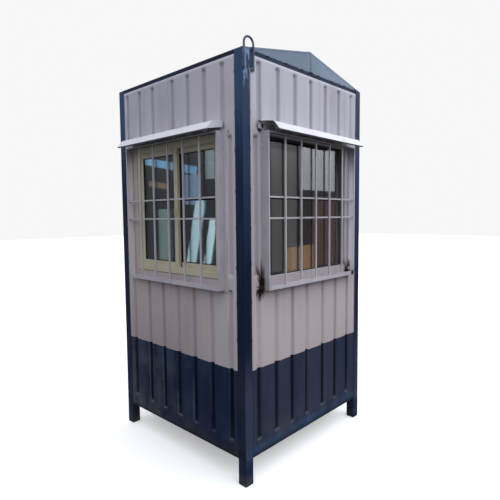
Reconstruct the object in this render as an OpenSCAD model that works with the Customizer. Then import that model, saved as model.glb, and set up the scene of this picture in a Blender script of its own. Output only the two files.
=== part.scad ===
// Security guard booth: a portable sheet-steel cabin on four corner posts.
// +Z is up, the origin is the footprint's centre at ground level.
// The front wall faces -Y, the right wall +X, the door is in the back wall at +Y.

/* [Frame] */
// Width between the outer faces of the corner posts, along X
booth_w = 1220; // [1000:10:1600]
// Depth between the outer faces of the corner posts, along Y
booth_d = 1220; // [1000:10:1600]
// Height of the corner posts
post_top = 2400; // [2250:10:2800]
// Side of the square corner posts
post_s = 60; // [50:5:80]
// Wall thickness of the steel tubes
tube_t = 3; // [2:0.5:5]
// Clear height of the legs below the base rails
leg_h = 150; // [80:10:250]
// Height of the base rails
rail_h = 50; // [40:5:80]
// Height of the top rails
top_rail_h = 36; // [30:1:60]
// Width of a floor joist
joist_w = 40; // [30:5:60]
// Number of floor joists
joist_count = 2; // [1:1:4]

/* [Wall sheets] */
// Thickness of the pressed wall sheets
sheet_t = 2; // [1:0.5:4]
// Setback of the wall sheets from the faces of the posts
sheet_setback = 2; // [1:1:6]
// Depth of the pressed grooves
groove_depth = 16; // [8:1:24]
// Width of a groove at the face of the sheet
groove_mouth = 40; // [30:2:50]
// Width of a groove at its floor
groove_floor = 24; // [14:2:28]
// Spacing of the grooves in the door and over it
groove_pitch = 155; // [120:1:200]
// Length of the sloped ends of a groove
groove_end = 12; // [6:1:20]
// Height of the lower ends of the grooves over the floor
foot_margin = 15; // [6:1:40]
// Flat margin between a groove's end and a window's or door's edge
edge_margin = 15; // [8:1:30]
// Clearance between the back of a groove and the top rail over it
groove_clear = 2; // [1:1:10]
// Height of the top rail left showing over the wall sheets
eave_band = 22; // [10:1:40]

/* [Lining] */
// Thickness of the wall and ceiling boards
board_t = 6; // [4:1:12]
// Thickness of the floor board
floor_t = 18; // [12:1:30]

/* [Windows] */
// Width of the window openings
window_w = 830; // [600:10:900]
// Height of the window sills over the ground
sill_z = 1165; // [1000:5:1250]
// Height of the window heads over the ground
head_z = 1975; // [1800:5:2050]
// Clearance between an opening and the frame set in it
frame_gap = 0.5; // [0.2:0.1:0.9]
// Hairline between the members of a frame at its corner joints
joint_gap = 0.3; // [0.1:0.1:0.8]
// Face width of the sliding window's outer frame
frame_face = 28; // [20:1:45]
// Thickness of the outer frame where it runs on inside the sashes
frame_back_face = 14; // [8:1:18]
// Face width of a sliding sash's members
sash_face = 36; // [25:1:50]
// Depth of a sliding sash
sash_depth = 20; // [16:1:22]
// Setback of the front sash from the face of the wall
sash_setback = 14; // [10:1:18]
// Overlap of the two sashes at the middle of the window
sash_overlap = 44; // [30:1:60]
// Thickness of the panes
glass_t = 5; // [4:1:8]
// Thickness of the steel reveal around a fixed window
reveal_t = 3; // [2:0.5:5]
// Face width of the bead that holds a fixed pane
bead_w = 12; // [8:1:20]
// Setback of a fixed pane from the face of the wall
pane_setback = 30; // [20:1:40]

/* [Grilles] */
// How far a grille box stands past the window opening all round
grille_lap = 45; // [30:1:60]
// Depth of a grille box in front of the posts
grille_out = 50; // [40:1:80]
// Thickness of the grille's plates
grille_t = 3; // [2:0.5:5]
// Height of a grille's front flange along its foot
grille_flange = 28; // [20:1:40]
// Width of the flange's sides and head
grille_edge = 10; // [6:1:20]
// Side of the square grille bars
bar_s = 10; // [8:1:16]
// Spacing of the upright bars
bar_pitch = 152; // [120:1:180]
// Height of the lower cross bar over the sill
bar_low = 340; // [250:5:380]
// Height of the upper cross bar over the lower one
bar_rise = 120; // [80:5:160]

/* [Rain shades] */
// Height of a rain shade's wall edge over the window head
shade_lift = 70; // [50:1:90]
// Reach of a rain shade from the posts to its bend
shade_reach = 80; // [60:1:120]
// Reach of the lip past the bend
lip_reach = 40; // [20:1:60]
// Fall of the shade from the wall to its bend
shade_fall = 13; // [5:1:30]
// Fall of the lip below the bend
lip_fall = 45; // [25:1:70]
// Thickness of the rain shade sheet
shade_t = 2; // [1:0.5:4]
// Height of the flange that fixes a shade to the wall
shade_flange = 18; // [10:1:30]

/* [Door] */
// Clear width of the doorway
door_w = 700; // [560:10:760]
// Height of the doorway's head over the ground
door_head_z = 2000; // [1850:10:2050]
// Face width of the door frame
door_frame_face = 40; // [30:1:60]
// Running gap around the door leaf
door_gap = 4; // [2:0.5:8]
// Thickness of the door leaf's edge frame
leaf_depth = 34; // [28:1:45]
// Width of the door leaf's edge frame
leaf_edge = 40; // [30:1:60]
// Height of a hinge
hinge_h = 90; // [60:5:120]
// Width of a hinge over both flaps
hinge_w = 56; // [40:2:70]
// Diameter of a hinge's barrel
hinge_d = 12; // [8:1:16]
// Distance from the leaf's ends to the middles of the end hinges
hinge_inset = 220; // [120:10:300]
// Height of the pull handle's middle over the ground
handle_z = 1150; // [900:10:1250]
// Length of the pull handle between its feet
handle_len = 160; // [100:5:250]
// Diameter of the pull handle's bar
handle_d = 14; // [10:1:22]
// Clear space behind the pull handle
handle_space = 36; // [28:1:50]

/* [Roof] */
// Height of the ridge over the tops of the posts
ridge_rise = 127; // [80:1:200]
// Thickness of the roof sheets and gable plates
roof_t = 2; // [1:0.5:4]

/* [Lifting loops] */
// Diameter of the lifting loop's bar
loop_d = 12; // [8:1:20]
// Distance between the centres of the loop's legs
loop_w = 72; // [50:1:90]
// Height of the loop over the post
loop_rise = 66; // [50:1:100]
// Length of the loop's legs down the post
loop_leg = 110; // [60:5:200]

/* [Hidden] */

$fn = 48;
navy = [0.10, 0.16, 0.32];
lilac = [0.68, 0.66, 0.72];
roof_blue = [0.40, 0.47, 0.60];
cream = [0.72, 0.68, 0.50];
lining_brown = [0.30, 0.19, 0.15];
glass_grey = [0.35, 0.42, 0.45, 0.5];

FRONT = 0;
RIGHT = 1;
BACK = 2;
LEFT = 3;

// Depths in a wall are measured inwards from the faces of the posts.
sheet_back = sheet_setback + sheet_t;
lining_depth = post_s + board_t;
base_z = leg_h;
floor_z = base_z + rail_h;
room_z = floor_z + floor_t;
top_rail_z = post_top - top_rail_h;
ceiling_z = top_rail_z - board_t;
sheet_top_z = post_top - eave_band;
groove_foot_z = room_z + foot_margin;
groove_top_z = min(top_rail_z, sheet_top_z - edge_margin) - sheet_t - groove_clear;
ridge_z = post_top + ridge_rise;
window_h = head_z - sill_z;
window_shade_z = head_z + shade_lift;
shade_half = window_w / 2 + grille_lap - 5;

// Clear width between the posts of a wall
function bay(side) = (side % 2 == 0 ? booth_w : booth_d) - 2 * post_s;

// Groove centres from the left post: a first distance, a pitch and one wider flat
function groove_row(side, first, pitch, jog_after, jog) = [
  for (i = [0 : floor((bay(side) - first - jog - groove_mouth) / pitch)])
    -bay(side) / 2 + first + i * pitch + (i > jog_after ? jog : 0)
];

// Moves a wall drawn in x along it, y inwards and z up to its side of the booth
module on_side(side) {
  half = side % 2 == 0 ? booth_d / 2 : booth_w / 2;
  rotate([0, 0, 90 * side]) translate([0, -half, 0]) children();
}

// A box given by its low and high corners
module block(low, high) {
  translate(low) cube(high - low);
}

// A one-piece picture frame across Y: middle in x, foot in z, outer size, member width, depth
module ring(x, z, size_x, size_z, face, y, depth) {
  difference() {
    translate([x - size_x / 2, y, z]) cube([size_x, depth, size_z]);
    translate([x - size_x / 2 + face, y - 1, z + face])
      cube([size_x - 2 * face, depth + 2, size_z - 2 * face]);
  }
}

// The same frame cut into two uprights and, between them, a foot and a head member
module jointed_ring(x, z, size_x, size_z, face, y, depth) {
  inner = size_x / 2 - face;
  for (s = [-1, 1])
    translate([x + s * (size_x - face) / 2 - face / 2, y, z]) cube([face, depth, size_z]);
  for (low = [z, z + size_z - face])
    translate([x - inner + joint_gap, y, low]) cube([2 * (inner - joint_gap), depth, face]);
}

// A pressed groove as a closed trough with sloped sides and ends, mouth at y = 0
module trough(x, low, high, depth, grow) {
  m = groove_mouth / 2 + grow;
  f = groove_floor / 2 + grow;
  z0 = low - grow;
  z1 = high + grow;
  points = [
    [x - m, 0, z0], [x + m, 0, z0], [x + m, 0, z1], [x - m, 0, z1],
    [x - f, depth, z0 + groove_end], [x + f, depth, z0 + groove_end],
    [x + f, depth, z1 - groove_end], [x - f, depth, z1 - groove_end]
  ];
  faces = [
    [0, 3, 2, 1], [4, 5, 6, 7], [0, 1, 5, 4], [1, 2, 6, 5], [2, 3, 7, 6], [3, 0, 4, 7]
  ];
  polyhedron(points, faces);
}

// A wall sheet between x0 and x1, with rows of grooves: [low end, high end, centres]
module pressed_sheet(x0, x1, low, high, rows) {
  translate([0, sheet_setback, 0]) difference() {
    union() {
      block([x0, 0, low], [x1, sheet_t, high]);
      for (row = rows, x = row[2]) trough(x, row[0], row[1], groove_depth + sheet_t, sheet_t);
    }
    for (row = rows, x = row[2])
      translate([0, -0.01, 0]) trough(x, row[0], row[1], groove_depth, 0);
  }
}

module corner_post(sx, sy) {
  color(navy) translate([sx * (booth_w - post_s) / 2, sy * (booth_d - post_s) / 2, 0])
    difference() {
      translate([-post_s / 2, -post_s / 2, 0]) cube([post_s, post_s, post_top]);
      translate([-post_s / 2 + tube_t, -post_s / 2 + tube_t, tube_t])
        cube([post_s - 2 * tube_t, post_s - 2 * tube_t, post_top - 2 * tube_t]);
    }
}

// A rail tube between two posts, open at its ends where the posts close it
module rail(side, z, h) {
  half = bay(side) / 2;
  inner_h = h - 2 * tube_t;
  on_side(side) difference() {
    block([-half, sheet_back, z], [half, post_s, z + h]);
    translate([0, 0, z + tube_t])
      block([-half - 1, sheet_back + tube_t, 0], [half + 1, post_s - tube_t, inner_h]);
  }
}

module base_rails() {
  color(navy) for (side = [FRONT : LEFT]) rail(side, base_z, rail_h);
}

module top_rails() {
  color(navy) for (side = [FRONT : LEFT]) rail(side, top_rail_z, top_rail_h);
}

module floor_joists() {
  span = booth_d - 2 * post_s;
  pitch = bay(FRONT) / (joist_count + 1);
  color(navy) for (i = [1 : joist_count])
    translate([-bay(FRONT) / 2 + i * pitch - joist_w / 2, -span / 2, base_z]) difference() {
      cube([joist_w, span, rail_h]);
      translate([tube_t, -1, tube_t]) cube([joist_w - 2 * tube_t, span + 2, rail_h - 2 * tube_t]);
    }
}

// A board that reaches over the rails and is notched round the four posts
module notched_board(inset, z, t) {
  half_w = booth_w / 2 - inset;
  half_d = booth_d / 2 - inset;
  difference() {
    block([-half_w, -half_d, z], [half_w, half_d, z + t]);
    for (sx = [-1, 1], sy = [-1, 1])
      translate([sx * (booth_w - post_s) / 2, sy * (booth_d - post_s) / 2, z - 1])
        translate([-post_s / 2, -post_s / 2, 0]) cube([post_s, post_s, t + 2]);
  }
}

module floor_board() {
  color("dimgray") notched_board(sheet_back + 2, floor_z, floor_t);
}

module ceiling_board() {
  color("whitesmoke") notched_board(sheet_back + groove_depth + 8, ceiling_z, board_t);
}

module lower_sheet(side, centres) {
  color(lilac) on_side(side)
    pressed_sheet(-bay(side) / 2, bay(side) / 2, base_z, sill_z,
      [[groove_foot_z, sill_z - edge_margin, centres]]);
}

module upper_sheet(side, centres) {
  color(lilac) on_side(side)
    pressed_sheet(-bay(side) / 2, bay(side) / 2, head_z, sheet_top_z,
      [[head_z + edge_margin, groove_top_z, centres]]);
}

// The strips of wall beside a window, each with one groove in its showing part
module side_strips(side) {
  outer = bay(side) / 2;
  inner = window_w / 2;
  groove = (outer + inner + grille_lap) / 2;
  low = sill_z + edge_margin;
  high = head_z - edge_margin;
  color(lilac) on_side(side) {
    pressed_sheet(-outer, -inner, sill_z, head_z, [[low, high, [-groove]]]);
    pressed_sheet(inner, outer, sill_z, head_z, [[low, high, [groove]]]);
  }
}

door_frame_w = door_w + 2 * door_frame_face;
door_frame_top = door_head_z + door_frame_face;

module back_side_sheets() {
  outer = bay(BACK) / 2;
  inner = door_frame_w / 2 + frame_gap;
  groove = (outer + inner) / 2;
  color(lilac) on_side(BACK) for (s = [-1, 1])
    pressed_sheet(min(s * outer, s * inner), max(s * outer, s * inner), base_z, sheet_top_z,
      [[groove_foot_z, groove_top_z, [s * groove]]]);
}

module back_top_sheet() {
  half = door_frame_w / 2 + frame_gap;
  count = floor((half - groove_mouth) / groove_pitch);
  centres = [for (i = [-count : count]) i * groove_pitch];
  color(lilac) on_side(BACK)
    pressed_sheet(-half, half, door_frame_top + frame_gap, sheet_top_z,
      [[door_frame_top + edge_margin, groove_top_z, centres]]);
}

// The lining board of a wall, with an opening of a given width between two heights
module lining(side, half, open_w, low, high) {
  color(lining_brown) on_side(side) difference() {
    block([-half, post_s, room_z], [half, lining_depth, ceiling_z]);
    block([-open_w / 2, post_s - 1, low], [open_w / 2, lining_depth + 1, high]);
  }
}

module front_lining() {
  lining(FRONT, booth_w / 2 - post_s, window_w, sill_z, head_z);
}

module back_lining() {
  open_w = door_frame_w + 2 * frame_gap;
  lining(BACK, booth_w / 2 - post_s, open_w, room_z - 1, door_frame_top + frame_gap);
}

module side_lining(side) {
  lining(side, booth_d / 2 - lining_depth, window_w, sill_z, head_z);
}

frame_w = window_w - 2 * frame_gap;
frame_h = window_h - 2 * frame_gap;
frame_z = sill_z + frame_gap;
rear_sash_y = sash_setback + sash_depth;
tracks_back = rear_sash_y + sash_depth;

// The sliding window's outer frame: a deep face that carries both tracks, a thin part behind
module front_window_frame() {
  color(cream) on_side(FRONT) {
    jointed_ring(0, frame_z, frame_w, frame_h, frame_face, sheet_setback, tracks_back - sheet_setback);
    jointed_ring(0, frame_z, frame_w, frame_h, frame_back_face, tracks_back + joint_gap,
      lining_depth - tracks_back - joint_gap);
  }
}

sash_room = frame_w - 2 * (frame_face);
sash_w = (sash_room + sash_overlap) / 2 - frame_gap;
sash_h = frame_h - 2 * (frame_face) - 2 * frame_gap;
sash_z = frame_z + frame_face + frame_gap;

module sash(x, y) {
  color(cream) on_side(FRONT) jointed_ring(x, sash_z, sash_w, sash_h, sash_face, y, sash_depth);
}

sash_x = (sash_room - sash_w) / 2 - frame_gap;

module front_left_sash() {
  sash(-sash_x, sash_setback);
}

module front_right_sash() {
  sash(sash_x, rear_sash_y);
}

// A pane set in a sash, its edges let in by the frame gap
module sash_pane(x, y) {
  w = sash_w - 2 * sash_face;
  h = sash_h - 2 * sash_face;
  translate([x - w / 2, y + (sash_depth - glass_t) / 2, sash_z + sash_face]) cube([w, glass_t, h]);
}

module front_window_glass() {
  color(glass_grey) on_side(FRONT) {
    sash_pane(-sash_x, sash_setback);
    sash_pane(sash_x, rear_sash_y);
  }
}

bead_inset = reveal_t + joint_gap;

// The fixed windows: a steel reveal through the wall and, inside it, beads behind the pane
module side_window_frames() {
  color(lilac) for (side = [RIGHT, LEFT]) on_side(side) {
    jointed_ring(0, frame_z, frame_w, frame_h, reveal_t, sheet_setback, lining_depth - sheet_setback);
    jointed_ring(0, frame_z + bead_inset, frame_w - 2 * bead_inset, frame_h - 2 * bead_inset,
      bead_w, pane_setback + glass_t, bead_w);
  }
}

module side_window_glass() {
  w = frame_w - 2 * reveal_t;
  h = frame_h - 2 * reveal_t;
  color(glass_grey) for (side = [RIGHT, LEFT]) on_side(side)
    translate([-w / 2, pane_setback, frame_z + reveal_t]) cube([w, glass_t, h]);
}

grille_w = window_w + 2 * grille_lap;
grille_z = sill_z - grille_lap - 20;
grille_h = head_z + 10 - grille_z;

// The flat front flange of a grille: narrow uprights and head, a wide foot
module flange(y) {
  inner = grille_w / 2 - grille_edge;
  reach = 2 * (inner - joint_gap);
  for (s = [-1, 1])
    translate([s * (grille_w - grille_edge) / 2 - grille_edge / 2, y, grille_z])
      cube([grille_edge, grille_t, grille_h]);
  translate([-reach / 2, y, grille_z]) cube([reach, grille_t, grille_flange]);
  translate([-reach / 2, y, grille_z + grille_h - grille_edge])
    cube([reach, grille_t, grille_edge]);
}

// A box grille of straight members: a front flange, bars behind it and plates to the wall
module grille(side) {
  front = -grille_out;
  plates_y = front + grille_t + joint_gap;
  cross_y = plates_y + bar_s + joint_gap;
  inner_w = grille_w - 2 * (grille_t + joint_gap);
  inner_h = grille_h - 2 * (grille_t + joint_gap);
  color(lilac) on_side(side) {
    flange(front);
    for (i = [-2 : 2])
      translate([i * bar_pitch - bar_s / 2, plates_y, grille_z + grille_t + joint_gap])
        cube([bar_s, bar_s, inner_h]);
    for (z = [sill_z + bar_low, sill_z + bar_low + bar_rise])
      translate([-inner_w / 2, cross_y, z - bar_s / 2]) cube([inner_w, bar_s, bar_s]);
    jointed_ring(0, grille_z, grille_w, grille_h, grille_t, plates_y, sheet_setback - plates_y);
  }
}

// The shade's outline in reach from the wall and height, a folded sheet of even thickness
module shade_outline(z) {
  back = -sheet_setback;
  inner = back + shade_t;
  bend = shade_reach;
  bend_z = z - shade_fall;
  lip = bend + lip_reach;
  lip_z = bend_z - lip_fall;
  polygon([
    [back, z], [bend, bend_z], [lip, lip_z], [lip - shade_t, lip_z - shade_t],
    [bend - shade_t, bend_z - shade_t], [inner, z - shade_t], [inner, z - shade_flange],
    [back, z - shade_flange]
  ]);
}

// The flat plate that closes an end of a shade, its lower edge rising to the wall
module shade_end_outline(z) {
  bend_z = z - shade_fall;
  polygon([
    [-sheet_setback, z - shade_t / 2], [shade_reach, bend_z - shade_t / 2],
    [shade_reach + lip_reach - shade_t, bend_z - lip_fall], [-sheet_setback, bend_z - lip_fall / 2]
  ]);
}

// Stands a profile drawn in reach and height along the wall from x0 to x1
module along_wall(x0, x1) {
  translate([x0, 0, 0]) rotate([90, 0, -90]) mirror([0, 0, 1]) linear_extrude(x1 - x0) children();
}

module rain_shade(side, z, half, closed) {
  color(lilac) on_side(side) {
    along_wall(-half, half) shade_outline(z);
    if (closed) {
      along_wall(-half, -half + shade_t) shade_end_outline(z);
      along_wall(half - shade_t, half) shade_end_outline(z);
    }
  }
}

module window_shade(side, closed) {
  rain_shade(side, window_shade_z, shade_half, closed);
}

module door_shade() {
  rain_shade(BACK, door_frame_top + frame_gap + shade_flange, door_frame_w / 2, false);
}

// The door's frame: two jambs, a head and a threshold through the whole wall
module door_frame() {
  color(navy) on_side(BACK) difference() {
    block([-door_frame_w / 2, sheet_setback, room_z], [door_frame_w / 2, lining_depth, door_frame_top]);
    block([-door_w / 2, 0, room_z + door_frame_face / 2], [door_w / 2, lining_depth + 1, door_head_z]);
  }
}

leaf_w = door_w - 2 * door_gap;
leaf_z = room_z + door_frame_face / 2 + door_gap;
leaf_h = door_head_z - door_gap - leaf_z;

// The door leaf: a pressed outer sheet on an edge frame with a middle rail
module door_leaf() {
  half = leaf_w / 2;
  mid = leaf_z + leaf_h / 2;
  lap = leaf_edge + sheet_t + 1;
  mid_lap = leaf_edge / 2 + sheet_t + 1;
  count = floor((half - leaf_edge - groove_mouth) / groove_pitch);
  centres = [for (i = [-count : count]) i * groove_pitch];
  color(lilac) on_side(BACK) {
    pressed_sheet(-half, half, leaf_z, leaf_z + leaf_h,
      [[leaf_z + lap, mid - mid_lap, centres], [mid + mid_lap, leaf_z + leaf_h - lap, centres]]);
    ring(0, leaf_z, leaf_w, leaf_h, leaf_edge, sheet_back, leaf_depth);
    block([-half + leaf_edge - 1, sheet_back, mid - leaf_edge / 2],
      [half - leaf_edge + 1, sheet_back + leaf_depth, mid + leaf_edge / 2]);
  }
}

// Butt hinges across the gap between the leaf and the frame, a barrel on two flaps
module door_hinges() {
  x = door_w / 2 - door_gap / 2;
  pitch = (leaf_h - 2 * hinge_inset) / 2;
  color(navy) on_side(BACK) for (i = [0 : 2]) translate([x, 0, leaf_z + hinge_inset + i * pitch]) {
    block([-hinge_w / 2, 0, -hinge_h / 2], [hinge_w / 2, sheet_setback, hinge_h / 2]);
    translate([0, sheet_setback - hinge_d / 2, -hinge_h / 2]) cylinder(d = hinge_d, h = hinge_h);
  }
}

module door_handle() {
  x = -leaf_w / 2 + leaf_edge / 2;
  reach = handle_space + handle_d / 2;
  color("silver") on_side(BACK) translate([x, sheet_setback, handle_z]) {
    for (s = [-1, 1]) translate([0, 0, s * handle_len / 2])
      rotate([90, 0, 0]) cylinder(d = handle_d, h = reach);
    translate([0, -reach, -(handle_len + handle_d) / 2])
      cylinder(d = handle_d, h = handle_len + handle_d);
  }
}

// A roof slope from its eave on the top rail up to the ridge, in Y and Z
module roof_slope(sy) {
  eave = booth_d / 2 - sheet_setback;
  half = booth_w / 2 - sheet_setback;
  rise = ridge_z - post_top;
  color(roof_blue) rotate([90, 0, 90]) translate([0, 0, -half]) linear_extrude(2 * half)
    polygon([
      [sy * eave, post_top], [0, ridge_z - roof_t], [0, ridge_z],
      [sy * eave, post_top + roof_t]
    ]);
}

module gable_plates() {
  eave = booth_d / 2 - sheet_setback;
  color(roof_blue) for (s = [-1, 1]) translate([s * (booth_w / 2 - sheet_setback - roof_t / 2), 0, 0])
    rotate([90, 0, 90]) translate([0, 0, -roof_t / 2]) linear_extrude(roof_t)
      polygon([[-eave, post_top], [eave, post_top], [0, ridge_z - roof_t]]);
}

// A bent-bar loop whose legs run down the outer side face of a corner post
module lifting_loop() {
  bend_z = post_top + loop_rise - loop_w / 2 - loop_d / 2;
  foot_z = post_top - loop_leg;
  for (s = [-1, 1])
    translate([s * loop_w / 2, 0, foot_z]) cylinder(d = loop_d, h = bend_z - foot_z);
  translate([0, 0, bend_z]) rotate([90, 0, 0])
    rotate_extrude(angle = 180) translate([loop_w / 2, 0]) circle(d = loop_d);
}

module lifting_loops() {
  x = booth_w / 2 + loop_d / 2;
  y = -booth_d / 2 + 10 + loop_w / 2;
  color("slategray") for (turn = [0, 180])
    rotate([0, 0, turn]) translate([x, y, 0]) rotate([0, 0, 90]) lifting_loop();
}

corner_post(-1, -1);  // corner_post_front_left
corner_post(1, -1);  // corner_post_front_right
corner_post(-1, 1);  // corner_post_back_left
corner_post(1, 1);  // corner_post_back_right
base_rails();
floor_joists();
floor_board();
top_rails();
lower_sheet(FRONT, groove_row(FRONT, 69, 159, 0, 25));  // front_lower_sheet
upper_sheet(FRONT, groove_row(FRONT, 38, 150, 2, 62));  // front_upper_sheet
side_strips(FRONT);  // front_side_strips
lower_sheet(RIGHT, groove_row(RIGHT, 60, 152, 3, 24));  // right_lower_sheet
upper_sheet(RIGHT, groove_row(RIGHT, 74, 161, 6, 0));  // right_upper_sheet
side_strips(RIGHT);  // right_side_strips
lower_sheet(LEFT, groove_row(LEFT, 60, 152, 3, 24));  // left_lower_sheet
upper_sheet(LEFT, groove_row(LEFT, 74, 161, 6, 0));  // left_upper_sheet
side_strips(LEFT);  // left_side_strips
back_side_sheets();
back_top_sheet();
door_frame();
door_leaf();
door_hinges();
door_handle();
front_lining();
side_lining(RIGHT);  // right_lining
side_lining(LEFT);  // left_lining
back_lining();
ceiling_board();
front_window_frame();
front_left_sash();
front_right_sash();
front_window_glass();
side_window_frames();
side_window_glass();
grille(FRONT);  // front_grille
grille(RIGHT);  // right_grille
grille(LEFT);  // left_grille
window_shade(FRONT, true);  // front_rain_shade
window_shade(RIGHT, false);  // right_rain_shade
window_shade(LEFT, false);  // left_rain_shade
door_shade();  // back_rain_shade
roof_slope(-1);  // roof_sheet_front
roof_slope(1);  // roof_sheet_back
gable_plates();
lifting_loops();
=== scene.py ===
"""Security guard booth: the finish, the pressed walls and the small parts, built round its frame.

Lengths are in metres. +Z is up, the front wall faces -Y and the right wall +X.
A wall is worked in its own frame: x along it, y inwards from the faces of the posts, z up.
"""
import math
import random

import bpy
import numpy as np
from mathutils import Matrix, Vector, noise


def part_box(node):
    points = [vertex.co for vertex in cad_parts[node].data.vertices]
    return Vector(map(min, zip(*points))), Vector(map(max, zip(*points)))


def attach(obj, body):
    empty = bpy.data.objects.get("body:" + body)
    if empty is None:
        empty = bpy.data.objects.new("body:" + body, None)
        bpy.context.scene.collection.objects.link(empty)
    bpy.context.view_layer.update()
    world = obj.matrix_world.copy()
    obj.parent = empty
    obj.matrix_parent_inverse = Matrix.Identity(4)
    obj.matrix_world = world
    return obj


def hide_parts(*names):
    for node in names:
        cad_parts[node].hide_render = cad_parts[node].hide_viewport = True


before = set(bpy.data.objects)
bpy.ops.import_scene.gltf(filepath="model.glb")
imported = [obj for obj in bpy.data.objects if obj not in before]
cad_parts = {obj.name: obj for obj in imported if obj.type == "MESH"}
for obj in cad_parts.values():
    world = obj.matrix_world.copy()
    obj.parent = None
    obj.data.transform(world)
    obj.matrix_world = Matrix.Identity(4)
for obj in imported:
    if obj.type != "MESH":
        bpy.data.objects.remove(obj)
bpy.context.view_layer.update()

BODY = "root"
FRONT, RIGHT, BACK, LEFT = range(4)
SIDE_NAMES = ("front", "right", "back", "left")
WINDOW_SIDES = (FRONT, RIGHT, LEFT)

# ---------------------------------------------------------------- sizes taken from the frame
post_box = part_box("corner_post_front_right")
HALF_W = post_box[1].x
HALF_D = -post_box[0].y
POST_S = post_box[1].x - post_box[0].x
POST_TOP = post_box[1].z
BAY = HALF_W - POST_S
BASE_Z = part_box("base_rails")[0].z
FLOOR_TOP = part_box("floor_board")[1].z
CEILING_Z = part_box("ceiling_board")[0].z
SILL_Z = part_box("front_lower_sheet")[1].z
HEAD_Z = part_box("front_upper_sheet")[0].z
SHEET_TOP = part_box("front_upper_sheet")[1].z
SHEET_Y = HALF_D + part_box("front_lower_sheet")[0].y
RIDGE_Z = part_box("roof_sheet_front")[1].z
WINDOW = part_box("front_window_frame")
WINDOW_HALF = WINDOW[1].x + 0.0005
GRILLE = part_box("front_grille")
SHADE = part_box("front_rain_shade")
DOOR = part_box("door_leaf")
DOOR_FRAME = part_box("door_frame")
DOOR_FRAME_HALF = DOOR_FRAME[1].x + 0.0005
DOOR_FRAME_TOP = DOOR_FRAME[1].z

# ---------------------------------------------------------------- sizes inside the frame's parts
LINING_BACK = POST_S + 0.006
FRAME_FACE = 0.028
SASH_FACE = 0.036
BAR_S = 0.010
BAR_PITCH = 0.152
CROSS_BARS = (SILL_Z + 0.340, SILL_Z + 0.460)
GRILLE_FOOT_FLANGE = 0.028
GRILLE_EDGE_FLANGE = 0.010
SHADE_TOP = HEAD_Z + 0.070
SHADE_LIP_Z = SHADE_TOP - 0.013 - 0.045
LOOP_FOOT = POST_TOP - 0.110
LOOP_SPAN = 0.072

# ---------------------------------------------------------------- pressing and paint lines
SHEET_T = 0.002
GROOVE_DEPTH = 0.016
GROOVE_MOUTH = 0.040
GROOVE_FLOOR = 0.024
GROOVE_END = 0.012
GROOVE_FOOT = FLOOR_TOP + 0.015
GROOVE_TOP = SHEET_TOP - 0.019
EDGE_MARGIN = 0.015
BEND_EASE = 0.002
WAVE = 0.0010
WAVE_FADE = 0.06
GRID_STEP = 0.034
PAINT_LINE = 0.655


def wall_place(side):
    """Takes a point of a wall's own frame to its side of the booth."""
    half = HALF_D if side % 2 == 0 else HALF_W
    return Matrix.Rotation(side * math.pi / 2, 4, "Z") @ Matrix.Translation((0, -half, 0))


# ================================================================ shader tools
class Wire:
    """A shader socket. Python arithmetic on it adds Math nodes."""

    def __init__(self, finish, socket):
        self.finish = finish
        self.socket = socket

    def part(self, name):
        return Wire(self.finish, self.socket.node.outputs[name])

    def maths(self, operation, *rest):
        return self.finish.node("Math", {"operation": operation}, dict(enumerate((self, *rest))))

    def __add__(self, other):
        return self.maths("ADD", other)

    __radd__ = __add__

    def __sub__(self, other):
        return self.maths("SUBTRACT", other)

    def __rsub__(self, other):
        return self.finish.node("Math", {"operation": "SUBTRACT"}, {0: other, 1: self})

    def __mul__(self, other):
        return self.maths("MULTIPLY", other)

    __rmul__ = __mul__

    def __truediv__(self, other):
        return self.maths("DIVIDE", other)

    def __pow__(self, other):
        return self.maths("POWER", other)

    def absolute(self):
        return self.maths("ABSOLUTE")

    def most(self, other):
        return self.maths("MAXIMUM", other)

    def least(self, other):
        return self.maths("MINIMUM", other)

    def rise(self, low, high):
        """0 below low and 1 above high, or the other way round if low is the higher."""
        return self.finish.node(
            "MapRange", {"interpolation_type": "SMOOTHSTEP"}, {0: self, 1: low, 2: high}
        )


class Nodes:
    """A node tree that is written as Python."""

    def __init__(self, tree, coordinates):
        self.tree = tree
        self.place = self.node("TexCoord", out=coordinates)
        self.x = self.node("SeparateXYZ", {}, {0: self.place})
        self.y = self.x.part("Y")
        self.z = self.x.part("Z")

    def node(self, kind, settings=None, inputs=None, out=0):
        """Adds a node of a type: its settings first, then the values and links of its sockets."""
        node = self.tree.nodes.new("ShaderNode" + kind)
        for key, value in (settings or {}).items():
            if key == "stops":
                ramp = node.color_ramp.elements
                while len(ramp) < len(value):
                    ramp.new(0.5)
                for stop, (position, colour) in zip(ramp, value):
                    stop.position = position
                    stop.color = colour
            else:
                setattr(node, key, value)
        for key, value in (inputs or {}).items():
            self.feed(node.inputs[key], value)
        return Wire(self, node.outputs[out])

    def feed(self, socket, value):
        if isinstance(value, Wire):
            self.tree.links.new(value.socket, socket)
        else:
            socket.default_value = value

    def grain(self, scale, stretch=(1, 1, 1), detail=3.0, rough=0.55, shift=0.0):
        """Noise around 0.5, stretched along an axis by a scale below 1."""
        place = self.node("Mapping", {}, {0: self.place, 1: (shift, shift, shift), 3: stretch})
        return self.node(
            "TexNoise", {}, {"Vector": place, "Scale": scale, "Detail": detail, "Roughness": rough}
        )

    def blend(self, amount, first, second, kind="MIX"):
        """One colour laid over another by an amount."""
        return self.node(
            "Mix", {"data_type": "RGBA", "blend_type": kind}, {0: amount, 6: first, 7: second}, out=2
        )


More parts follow.
